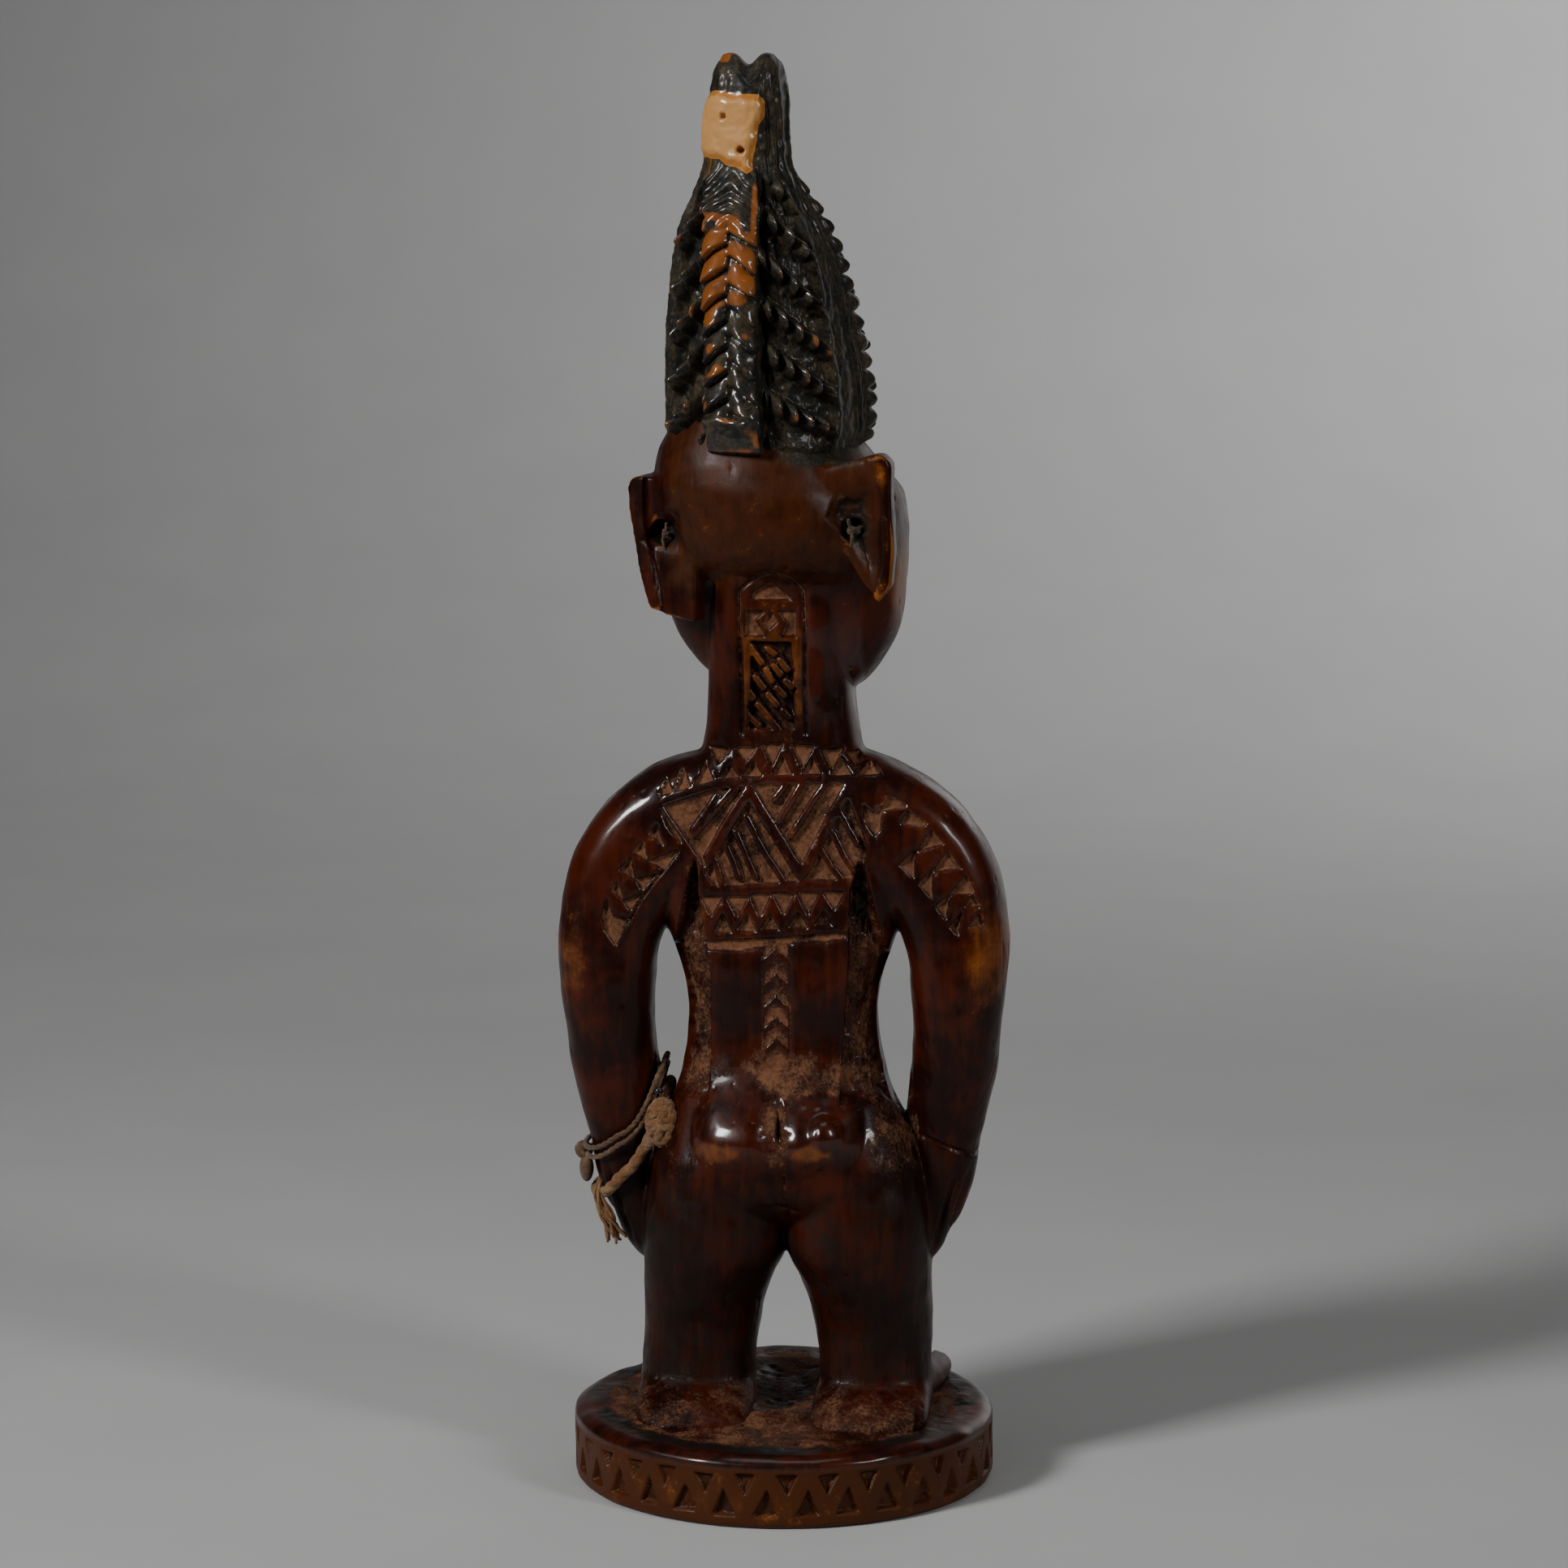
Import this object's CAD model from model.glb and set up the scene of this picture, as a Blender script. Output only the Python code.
"""A carved wooden twin figure on a round plinth, with two cords round its left wrist and threads in its ears.

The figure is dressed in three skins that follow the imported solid: the body with its head, the hair, and the
plinth. Places are in the carver's parts, each about a millimetre, with z counted from the top of the plinth.
"""

import math

import bpy
import numpy as np
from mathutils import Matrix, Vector


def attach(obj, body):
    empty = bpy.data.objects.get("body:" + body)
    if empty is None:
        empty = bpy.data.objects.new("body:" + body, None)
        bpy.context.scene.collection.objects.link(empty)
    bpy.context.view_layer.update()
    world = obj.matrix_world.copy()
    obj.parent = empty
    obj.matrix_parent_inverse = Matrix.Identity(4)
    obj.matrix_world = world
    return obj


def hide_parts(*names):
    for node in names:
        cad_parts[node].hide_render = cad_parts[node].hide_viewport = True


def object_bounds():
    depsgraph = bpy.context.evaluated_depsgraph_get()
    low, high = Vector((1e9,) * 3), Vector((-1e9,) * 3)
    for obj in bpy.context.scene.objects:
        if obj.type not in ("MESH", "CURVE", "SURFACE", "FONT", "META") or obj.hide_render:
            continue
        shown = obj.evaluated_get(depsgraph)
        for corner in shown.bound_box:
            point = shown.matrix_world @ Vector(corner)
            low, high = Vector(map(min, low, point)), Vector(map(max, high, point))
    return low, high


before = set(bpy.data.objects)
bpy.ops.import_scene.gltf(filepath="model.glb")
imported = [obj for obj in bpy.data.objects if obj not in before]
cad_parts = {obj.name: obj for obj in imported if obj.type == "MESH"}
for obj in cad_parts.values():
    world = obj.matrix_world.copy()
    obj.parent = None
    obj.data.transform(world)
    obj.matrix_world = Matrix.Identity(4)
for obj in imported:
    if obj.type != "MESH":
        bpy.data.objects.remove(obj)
cad_low, cad_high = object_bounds()
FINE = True

# Driving sizes, in millimetres, and the size of one part.
PLINTH_HEIGHT = 15.0
PLINTH_RADIUS = 44.5
PARTS_HIGH = 283.6
PART = (cad_high.z * 1000 - PLINTH_HEIGHT) / PARTS_HIGH
MM = 0.001

# How fine the skins are, in parts, and the most triangles that the body's skin keeps.
VOXEL = 0.37 if FINE else 0.9
BODY_TRIANGLES = 196000
HAIR_GRID = (414, 218) if FINE else (240, 130)
PLINTH_TURNS = 820 if FINE else 400
PLINTH_SIDE_RINGS, PLINTH_TOP_RINGS = (46, 70) if FINE else (24, 36)

# Rounds of smoothing: by the rasp, by long handling, and to find creases and broad hollows.
RASPED, HANDLED = 7, 34
CREASE, BROAD, HAIR_CREASE = 14, 60, 6

# Widths and depths of the carver's cuts, in parts.
WALL = 0.36
SCAR_DEPTH = 1.15
CHEST_DEPTH = 0.9


# Curves, noise and distances.
def step(low, high, value):
    """A smooth rise from 0 at low to 1 at high."""
    share = np.clip((value - low) / (high - low), 0, 1)
    return share * share * (3 - 2 * share)


def bump(centre, half, value):
    """A smooth hill of height 1 over a centre that is gone at half on either side."""
    return 1 - step(0, half, np.abs(value - centre))


def blend(first, second, share):
    return first + (second - first) * share


def highest(first, *others):
    """The largest of several values at each place."""
    for other in others:
        first = np.maximum(first, other)
    return first


def bulged(value, power):
    """A sine or cosine pushed outwards, which turns a circle into a superellipse."""
    return np.sign(value) * np.abs(value) ** power


def along(rows, t):
    """All columns of a table at share t of its length, on a smooth curve through its rows."""
    rows = np.asarray(rows, float)
    last = len(rows) - 1
    place = np.clip(t, 0, 1) * last
    i = np.minimum(place.astype(int), last - 1)
    f = (place - i)[..., None]
    a, b, c, d = (rows[np.clip(i + k, 0, last)] for k in (-1, 0, 1, 2))
    return b + 0.5 * f * (c - a + f * (2 * a - 5 * b + 4 * c - d + f * (3 * (b - c) + d - a)))


def scrambled(cells, seed):
    """A number from 0 to 1 for each whole-numbered cell, always the same for the same cell."""
    x, y, z = (cells[..., k].astype(np.uint64) for k in range(3))
    mixed = x * np.uint64(73856093) ^ y * np.uint64(19349663) ^ z * np.uint64(83492791)
    mixed = (mixed ^ np.uint64(seed * 2654435761)) * np.uint64(0x9E3779B97F4A7C15)
    return ((mixed >> np.uint64(40)) & np.uint64(0xFFFF)).astype(float) / 65535


def grain(points, size, seed=1):
    """Smooth noise from -1 to 1: values at the corners of cells of a size, eased from corner to corner."""
    place = points / size + 1000
    cell = np.floor(place)
    f = place - cell
    f = f * f * (3 - 2 * f)
    total = np.zeros(points.shape[:-1])
    for corner in np.ndindex(2, 2, 2):
        weight = np.prod(np.where(corner, f, 1 - f), axis=-1)
        total += weight * scrambled(cell + corner, seed)
    return 2 * total - 1


def line_distance(places, line):
    """Distance of each place to the nearest stretch of a line of points."""
    line = np.asarray(line, float)
    best = np.full(len(places), 1e9)
    for start, end in zip(line[:-1], line[1:]):
        way = end - start
        share = np.clip((places - start) @ way / (way @ way), 0, 1)
        best = np.minimum(best, np.linalg.norm(places - start - share[:, None] * way, axis=1))
    return best


def outline_depth(places, outline):
    """How far each place lies inside a closed outline, negative outside it."""
    outline = np.asarray(outline, float)
    closed = np.vstack([outline, outline[:1]])
    inside = np.zeros(len(places), bool)
    for (x0, z0), (x1, z1) in zip(closed[:-1], closed[1:]):
        if z0 != z1:
            crosses = (places[:, 1] > z0) != (places[:, 1] > z1)
            inside ^= crosses & (places[:, 0] < x0 + (places[:, 1] - z0) * (x1 - x0) / (z1 - z0))
    away = line_distance(places, closed)
    return np.where(inside, away, -away)


def turned(points, degrees):
    """Points turned about the upright axis."""
    c, s = math.cos(math.radians(degrees)), math.sin(math.radians(degrees))
    return np.asarray(points) @ np.array([[c, s, 0], [-s, c, 0], [0, 0, 1]])


def mirrored(rows):
    return [[-row[0], *row[1:]] for row in rows]


def once_round(count):
    """Angles once round a circle, in radians."""
    return np.linspace(0, 2 * np.pi, count, endpoint=False)


def unit(ways):
    """The same directions with a length of 1."""
    return ways / np.linalg.norm(ways, axis=-1, keepdims=True)


# Closed forms as (points, faces).
def grid_faces(rings, turns, closed=False):
    """Quads between rings of points, facing out where rings go up. Where closed, the last ring meets the first."""
    ring = np.arange(rings if closed else rings - 1)[:, None]
    low, high = ring * turns, (ring + 1) % rings * turns
    j = np.arange(turns)[None]
    k = (j + 1) % turns
    return np.stack([low + j, low + k, high + k, high + j], -1).reshape(-1, 4)


def filled_faces(rings, turns):
    """The quads between rings of points, and each end filled."""
    ends = [list(range(turns))[::-1], list(range((rings - 1) * turns, rings * turns))]
    return grid_faces(rings, turns).tolist() + ends


def tube_form(points):
    """A closed form from rings of points (rings, turns, 3)."""
    return points.reshape(-1, 3), filled_faces(*points.shape[:2])


def closed_tube(points):
    """A tube that closes on itself end to end, from rings of points."""
    return points.reshape(-1, 3), grid_faces(*points.shape[:2], closed=True).tolist()


def joined(forms):
    """Several forms as one."""
    points, faces, offset = [], [], 0
    for form_points, form_faces in forms:
        points.append(form_points)
        faces += [[offset + i for i in face] for face in form_faces]
        offset += len(form_points)
    return np.vstack(points), faces


def sweep(rows, towards_back=(0, 1, 0), turns=72, rings=110):
    """A section carried through rows of [x, y, z, half width, back, front, squareness]. The section is a
    superellipse, and its width runs across the path while its depth runs towards the back."""
    t = np.linspace(0, 1, rings)
    row = along(rows, t)
    path = unit(along(rows, t + 0.01)[:, :3] - along(rows, t - 0.01)[:, :3])
    back = unit(towards_back - path * (path @ towards_back)[:, None])
    across = np.cross(back, path)
    turn = once_round(turns)[None]
    power = 2 / row[:, 6:7]
    wide = bulged(np.sin(-turn), power) * row[:, 3:4]
    reach = np.where(np.cos(turn) > 0, row[:, 4:5], row[:, 5:6])
    deep = bulged(np.cos(turn), power) * reach
    points = row[:, None, :3] + across[:, None] * wide[..., None] + back[:, None] * deep[..., None]
    return tube_form(points)


def level_sweep(rows):
    """A sweep whose sections all lie level, each moved sideways and back to its own place."""
    rows = np.asarray(rows, float)
    points, faces = sweep(rows * [0, 0, 1, 1, 1, 1, 1])
    for k in (0, 1):
        points[:, k] += np.interp(points[:, 2], rows[:, 2], rows[:, k])
    return points, faces


def egg(centre, halves, turn=0, count=40):
    """A ball stretched to half sizes, turned about the upright axis and set in place."""
    up = np.linspace(-np.pi / 2 + 0.05, np.pi / 2 - 0.05, count)[:, None]
    round_ = once_round(count)[None]
    x, y = np.cos(up) * np.cos(round_), np.cos(up) * np.sin(round_)
    ball = np.stack([x, y, np.sin(up) + 0 * round_], -1) * halves
    return tube_form(turned(ball.reshape(-1, 3), turn).reshape(ball.shape) + np.asarray(centre, float))


def slab(outline, y0, y1):
    """A closed plate with an outline of [x, z] points, from one depth to another."""
    ring = np.asarray(outline, float)
    layers = [np.insert(ring, 1, y, axis=1) for y in np.linspace(y0, y1, 6)]
    return tube_form(np.stack(layers))


def changed(form, change):
    """The form with its points put through a function."""
    return change(form[0]), form[1]


def mesh_of(name, points, faces):
    mesh = bpy.data.meshes.new(name)
    mesh.from_pydata(points, [], faces)
    mesh.validate()
    return mesh


def linked(name, mesh):
    obj = bpy.data.objects.new(name, mesh)
    bpy.context.scene.collection.objects.link(obj)
    return obj


def finished_mesh(obj):
    """The object's mesh with its modifiers applied. The object itself is deleted."""
    graph = bpy.context.evaluated_depsgraph_get()
    mesh = bpy.data.meshes.new_from_object(obj.evaluated_get(graph))
    bpy.data.objects.remove(obj)
    return mesh


def fused(forms, voxel):
    """One closed skin round overlapping closed forms, as points and quads."""
    obj = linked("forms", mesh_of("forms", *joined(forms)))
    remesh = obj.modifiers.new("skin", "REMESH")
    remesh.mode = "VOXEL"
    remesh.voxel_size = voxel
    skin = finished_mesh(obj)
    points = np.zeros(len(skin.vertices) * 3)
    skin.vertices.foreach_get("co", points)
    quads = np.zeros(len(skin.loops), int)
    skin.loops.foreach_get("vertex_index", quads)
    return points.reshape(-1, 3), quads.reshape(-1, 4)


def smoothed(points, quads, rounds, weight=1.0):
    """Points moved again and again half way towards the middle of their neighbours along the quads' edges."""
    start, end = quads.ravel(), np.roll(quads, -1, axis=1).ravel()
    count = (np.bincount(start, minlength=len(points)) + np.bincount(end, minlength=len(points)))[:, None]
    share = 0.5 * np.broadcast_to(weight, len(points))[:, None]
    for _ in range(rounds):
        total = np.stack(
            [
                np.bincount(start, points[end, k], len(points)) + np.bincount(end, points[start, k], len(points))
                for k in range(points.shape[1])
            ],
            1,
        )
        points = points + share * (total / np.maximum(count, 1) - points)
    return points


def normals_of(points, quads):
    """Outward direction at each point: the sum of the crossed diagonals of its quads."""
    a, b, c, d = (points[quads[:, k]] for k in range(4))
    facing = np.cross(c - a, d - b)
    total = np.zeros_like(points)
    for k in range(3):
        total[:, k] = np.bincount(quads.ravel(), np.repeat(facing[:, k], 4), len(points))
    return total / np.maximum(np.linalg.norm(total, axis=1, keepdims=True), 1e-9)


def hollowness(points, quads, rounds):
    """How far each point lies below the smoothed skin round it: above 0 in a crease, below 0 on an edge."""
    normal = normals_of(points, quads)
    return ((smoothed(points, quads, rounds) - points) * normal).sum(1)


def soft_min(first, second, radius):
    """The smaller of two values, with the corner between them rounded over a radius."""
    share = np.clip(0.5 + 0.5 * (second - first) / radius, 0, 1)
    return blend(second, first, share) - radius * share * (1 - share)


class Carving:
    """Cuts into one face, seen square on: how deep the skin is cut at each of its places across and up."""

    def __init__(self, across, up, faces_here):
        self.place = np.stack([across, up], 1)
        self.faces_here = faces_here
        self.depth = np.zeros(len(across))

    def near(self, points, margin):
        low, high = points.min(0) - margin, points.max(0) + margin
        return np.flatnonzero(self.faces_here & (self.place > low).all(1) & (self.place < high).all(1))

    def sink(self, outline, depth=SCAR_DEPTH, wall=WALL):
        """The inside of an outline goes down to a depth, with a slanting wall along its edge."""
        outline = np.asarray(outline, float)
        near = self.near(outline, wall)
        cut = depth * step(-wall / 2, wall / 2, outline_depth(self.place[near], outline))
        self.depth[near] = np.maximum(self.depth[near], cut)

    def groove(self, line, half, depth=SCAR_DEPTH):
        """A cut along a line, deepest in its middle."""
        line = np.asarray(line, float)
        near = self.near(line, half)
        cut = depth * (1 - step(0, half, line_distance(self.place[near], line)))
        self.depth[near] = np.maximum(self.depth[near], cut)

    def spare(self, line, half, height=0.0, wall=WALL):
        """A bar of wood left standing along a line, at the height of the face or a little above it."""
        line = np.asarray(line, float)
        near = self.near(line, half + wall)
        bar = 1 - step(half - wall / 2, half + wall / 2, line_distance(self.place[near], line))
        self.depth[near] = blend(self.depth[near], -height, bar)


chance = np.random.default_rng(7)


def by_hand(outline, slip=0.1):
    """The outline with each corner a little off its place, as a knife leaves it."""
    return np.asarray(outline, float) + chance.normal(0, slip, np.shape(outline))


# Body: rows of [x, y, z, half width, back, front, squareness] for each carved form.
LEGS_X = -0.9
LEG = [
    [18.8, 1, -3, 11.8, 13.5, 13, 2.6],
    [18.8, 1, 5, 11.8, 13.4, 12.5, 2.6],
    [18.7, 0, 12, 11.9, 14, 12.6, 2.6],
    [18.2, -0.8, 19, 12.4, 15, 13.4, 2.6],
    [17.5, -0.8, 26, 13.1, 16.4, 14.4, 2.6],
    [16.3, -0.3, 33, 14.3, 17.4, 15, 2.6],
    [14.9, 0, 39, 15.7, 17.9, 15, 2.6],
    [14.2, 0, 46, 15.4, 17.6, 14.8, 2.6],
    [13.8, 0, 52, 14.6, 16.4, 14.6, 2.6],
    [13.2, 0, 60, 12.8, 13.6, 12, 2.5],
]
FOOT = [
    [18.4, 24.5, -0.6, 7.6, 1.6, 4, 2.1],
    [18.4, 18.4, 0.9, 12.0, 4.2, 5, 2.1],
    [19.2, 2, 4, 12, 7, 6, 2.4],
    [21.0, -13, 3, 11.8, 5, 5, 2.4],
    [22.4, -23, 2, 11.2, 3.8, 4, 2.4],
    [22.6, -28, 1.4, 9.4, 2.4, 3, 2.4],
]
TRUNK = [
    [-0.8, 0, 37.6, 13, 6, 6, 2],
    [-0.8, 0, 42.6, 26.8, 15, 13, 2.6],
    [-0.6, 0, 49, 28.6, 18.6, 16.4, 3.2],
    [-0.3, 0, 57, 27.2, 18.2, 17.8, 3],
    [0, 0, 65, 23.8, 16, 18.4, 3],
    [0, 0, 73, 21.4, 12.8, 18, 3],
    [0, 0, 81, 20.1, 11.8, 17, 3],
    [0, 0, 90, 20.2, 13, 16.6, 3],
    [0, 0, 101, 23.6, 14, 16.2, 2.9],
    [0, 0, 113, 28.4, 14.2, 15, 2.7],
    [0, 0, 125, 27.4, 13.8, 13, 2.6],
    [0, 0.5, 136, 20, 13, 11.6, 2.4],
    [0, 0.5, 143, 15, 12, 12, 2.3],
]
NECK = [
    [0.4, -1, 132, 20, 14, 12, 2.4],
    [0.4, -1, 140, 17, 14, 12, 2.5],
    [0.4, -1, 150, 15.4, 14, 12, 2.6],
    [0.4, -1, 160, 15.1, 15, 12, 2.6],
    [0.4, -1, 170, 15.1, 17, 12, 2.6],
    [0.4, -1, 178.6, 14, 17, 11, 2.4],
    [0.4, -1, 182.4, 9, 13, 8, 2.2],
]
SEAT = [
    [-0.2, 5, 50, 17.6, 12.8, 6, 2.8],
    [-0.2, 5, 54.6, 19, 15.2, 6, 2.9],
    [-0.2, 5, 58.8, 19.6, 16.7, 6, 3],
    [-0.2, 5, 62, 19.4, 16.3, 6, 3],
    [-0.2, 5, 66, 18.8, 13.6, 6, 3],
    [-0.2, 5, 70, 17.8, 10, 6, 3],
    [-0.2, 5, 74, 16.4, 7.4, 6, 2.9],
    [-0.2, 5, 78.4, 14, 5, 5, 2.8],
]
ARM = [
    [32.4, -4.2, 50, 6.8, 8.4, 8.6, 2.6],
    [33.9, -3.2, 60, 8.1, 8.8, 9, 2.6],
    [35.3, -1.4, 70, 8.8, 9.6, 9.4, 2.7],
    [36.6, 0.4, 80, 9.2, 10.4, 10, 2.7],
    [37.0, 1.2, 91, 9.9, 11, 10.4, 2.7],
    [36.3, 1, 102, 11, 11.8, 11, 2.7],
    [33.2, 0.8, 112.4, 12.4, 12.4, 11.2, 2.7],
    [27, 0.6, 120.8, 13, 12.9, 11, 2.6],
    [18.2, 0.4, 126.4, 13, 13.2, 11, 2.6],
    [9, 0.3, 128.8, 12.6, 13.3, 11, 2.5],
]
SHOULDER_TOP = [0, 0.2, 129.4, 12.6, 13.4, 11, 2.5]
HAND = [
    [28.4, -4, 31, 2.4, 4, 4, 2.3],
    [29.6, -4, 35, 4.2, 7.6, 8, 2.4],
    [31.4, -4, 42, 5.9, 9, 9, 2.4],
    [33.0, -4, 50, 7.3, 9.2, 9, 2.4],
    [33.8, -3.8, 57.5, 7.7, 8.8, 8.6, 2.4],
]
SKULL = [
    [0, -5, 151, 8, 6, 12, 2.3],
    [0, -3.4, 154.6, 15.4, 9, 17.6, 2.2],
    [0.6, -2.5, 160.6, 20.9, 11, 22, 2.2],
    [1.0, -2, 168, 24.5, 12.6, 24.6, 2.2],
    [0.8, -1.5, 175.6, 25.4, 14.6, 25.6, 2.2],
    [0.5, -1.5, 180.4, 25.7, 20.4, 26, 2.2],
    [0.6, -1.5, 187, 25.5, 24.6, 26.4, 2.3],
    [1.4, -1.5, 194, 25, 26, 26, 2.3],
    [3.0, -0.6, 199, 23.2, 24.7, 23.4, 2.3],
    [3.9, 0.8, 203.4, 21, 22.4, 20.4, 2.3],
    [3.8, 2.4, 207, 18.8, 20.2, 18, 2.2],
    [3.2, 3, 212, 17, 18, 16, 2.2],
]
NOSE = [
    [0, -22, 169.6, 4.4, 2, 7.4, 2.4],
    [0, -22, 174, 5.6, 2, 11.4, 2.3],
    [0, -22, 180, 3.6, 2, 10, 2.2],
    [0, -22, 189, 2.2, 2, 6.4, 2.2],
]
HEAD_TURN = -15
EYE = [10.4, -24.2, 184]
EYE_TURN = 22

# Flat faces that the carver left, each as [depth, height at that depth, lean from the upright in degrees].
BACK = [12.5, 100, 0]
YOKE = [12.5, 133, 14]
NAPE = [10.4, 145, -7]
BACK_FOOT = 64

# Ears: flap, rim, hollow and hole, in the ear's own plane, as [x, z] points. The left one ends in a blunt
# foot and the right one, set a little higher, in a point.
EAR_ROOT = [17, 17, 0]
EAR_TURN = -14
EAR_LEFT = {
    "flap": [
        [-4, 197.2], [9.2, 198], [11.2, 196.6], [10.4, 188], [8.4, 178], [6.2, 170.8], [3.4, 169.4], [-4, 168.4],
    ],
    "rim": [
        [8, 198], [11, 197.8], [12.2, 195.8], [11.2, 188], [9, 177.6], [6.6, 170.6], [3.8, 170.2], [5.2, 178],
        [7.8, 188],
    ],
    "hollow": [[8.6, 184.6], [4.6, 190], [1.6, 192], [-2.5, 192.6], [-2.5, 182.6], [2, 182.4], [6, 183]],
    "pit": [4.6, 186.4],
    "hole": [21.3, 13.5, 186.5],
}
EAR_RIGHT = {
    "flap": [
        [-4, 200.6], [1, 202], [9.4, 203.2], [10.8, 201], [10.8, 186], [9.8, 176.8], [8.4, 174.6], [6.4, 176.8],
        [3.2, 182], [0.6, 187], [-4, 190],
    ],
    "rim": [
        [6.4, 203.2], [10, 203.8], [12, 201.8], [11.8, 193], [12.2, 184], [11.6, 177], [9.2, 173.6], [8, 174.6],
        [9.6, 181], [9.4, 192],
    ],
    "hollow": [[0, 196], [8, 197], [8.6, 190], [8.8, 181], [7.6, 177.4], [4.6, 182], [1.6, 187.6], [-1.5, 191]],
    "pit": [4.0, 188.6],
    "hole": [21.3, 13.5, 188.6],
}
EAR_HOLE_TURN = 28


def plane_depth(face, z):
    """How far back a flat face lies at each height."""
    depth, foot, lean = face
    return depth - (z - foot) * math.tan(math.radians(lean))


def flattened(points):
    """The trunk and arms pressed to the flat back, and above the shoulders to the leaning yoke."""
    x, y, z = points.T
    back = np.minimum(plane_depth(BACK, z), plane_depth(YOKE, z))
    free = (1 - step(BACK_FOOT - 1, BACK_FOOT + 5, z)) * 12
    return np.stack([x, soft_min(y, back + free, 1.2), z], 1)


def nape_flattened(points):
    x, y, z = points.T
    return np.stack([x, soft_min(y, plane_depth(NAPE, z), 1.0), z], 1)


def ear_forms():
    """Both ears, each a flap joined with its rim, turned out from the head."""
    forms = []
    for side, ear in ((1, EAR_LEFT), (-1, EAR_RIGHT)):
        for outline, front, back in ((ear["flap"], -4.4, 0), (ear["rim"], -7.4, 1.2)):
            flat = slab(outline, front, back)
            put = lambda points: turned(points, EAR_TURN) + EAR_ROOT
            forms.append(changed(changed(flat, put), lambda points: points * [side, 1, 1]))
    return forms


def head_forms():
    """Skull, nose, eyes, lips and ears, all turned with the head."""
    eye_x, eye_y, eye_z = EYE
    forms = [level_sweep(SKULL), sweep(NOSE), *ear_forms()]
    for side in (1, -1):
        forms.append(egg([side * eye_x, eye_y, eye_z], [6.6, 3.6, 4.2], side * EYE_TURN))
    forms += [egg([0, -23.4, 165], [7.4, 4.2, 2.3]), egg([0, -22.6, 161], [6.6, 4.2, 2.2])]
    return [changed(form, lambda points: turned(points, HEAD_TURN)) for form in forms]


def body_forms():
    """All forms of the figure below the hair and above the plinth."""
    legs = [sweep(side(LEG)) for side in (list, mirrored)]
    legs += [sweep(side(FOOT), (0, 0, 1)) for side in (list, mirrored)]
    legs = [changed(form, lambda points: points + [LEGS_X, 0, 0]) for form in legs]
    horseshoe = ARM + [SHOULDER_TOP] + mirrored(ARM)[::-1]
    upper = [changed(form, flattened) for form in (sweep(TRUNK), sweep(horseshoe, rings=260))]
    hands = [sweep(HAND), sweep(mirrored(HAND))]
    front = [egg([0, -9, 80], [17.4, 11.2, 25]), egg([0, -20, 78], [2, 1.8, 2])]
    seat = [sweep(SEAT), egg([-9.6, 15.4, 61.4], [5.4, 6.8, 5.2])]
    neck = [changed(sweep(NECK), nape_flattened)]
    return legs + upper + hands + front + seat + neck + head_forms()


# Patterns of the back, as [x, z] points.
YOKE_RIDGE = [[25.7, 130.8], [13.4, 134.5], [2.1, 135.7], [-4.6, 135.9], [-16.2, 135.9], [-24.8, 136.2]]
YOKE_APEXES = [
    [15.5, 139.1], [10.3, 138.8], [5.5, 139.5], [-0.5, 140.7], [-6.7, 140.2], [-12.8, 140.4], [-18.5, 139.7],
]
YOKE_OUTER_APEXES = [[20.0, 137.4], [23.6, 135.6]]
YOKE_HANGING = [[12.6, 138.6], [7.2, 138.8], [1.6, 138.2], [-4.7, 137.7], [-10.9, 137.6], [-16.2, 138.4]]
ZIGZAG = [[25.4, 129.7], [16.3, 116.2], [6.3, 133.3], [-4.7, 115.6], [-14.5, 134.6], [-20.1, 121.0]]
ZIGZAG_FIELD = [
    [24.4, 129.6], [13.4, 133.4], [2.1, 134.7], [-4.6, 134.9], [-15, 134.9], [-18.6, 124], [-17.4, 115.2],
    [-3.4, 114.4], [13, 113], [17.4, 117.6],
]
ZIGZAG_STROKES = [
    [[6.8, 127.8], [3.4, 121], [-0.8, 114.6]],
    [[8.9, 124.4], [6.6, 119], [4.7, 114.8]],
    [[11, 121.4], [9.4, 118], [8.3, 115.0]],
    [[13.3, 118.3], [12.4, 115.6], [11.8, 113.1]],
    [[-4.6, 134.6], [-0.1, 126.9]],
    [[-9.5, 134.9], [-2.4, 123.7]],
    [[-1.4, 134.8], [0.8, 131.5]],
    [[9.5, 133.6], [13.6, 128.6], [18, 123.4]],
    [[12.8, 132.2], [18.3, 124.1]],
    [[-11.1, 124.5], [-13.2, 120.4], [-15.6, 116.6]],
    [[-8.8, 120.9], [-11, 117.4], [-13.4, 114.6]],
    [[-13, 128.4], [-16.2, 122.3]],
]
CHEST_HANGING = [[14.1, 106.5], [8.8, 106.6], [3.9, 106.6], [-0.9, 107.2], [-6.1, 107.1], [-11.4, 108.2]]
CHEST_UPRIGHT = [[11.8, 107.4], [6.6, 107.6], [1.8, 107.8], [-4.1, 107.9], [-9.2, 108.2]]
CHEST_TOP = [[17, 110.2], [-3.4, 111.7], [-14, 112.3]]
CHEST_FOOT = [[15.4, 103.0], [-14, 105.4]]
CHEST_STRIP = [[15.6, 101.3], [0, 102.4], [-14.2, 103.7], [-14.2, 102.3], [0, 100.9], [8, 99.6], [15.2, 99.4]]
PANEL_LEFT = [[17.3, 119], [17, 112], [14.6, 95], [14.7, 76], [15, 70]]
PANEL_RIGHT = [[-16.4, 119], [-14.8, 112], [-14.5, 95], [-13.2, 76], [-13, 70]]
SPINE_X = 0.6
SPINE_HALF = 2.8
SPINE_APEXES = [100.9, 95.2, 90.5, 86.0, 81.4, 77.6]
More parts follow.
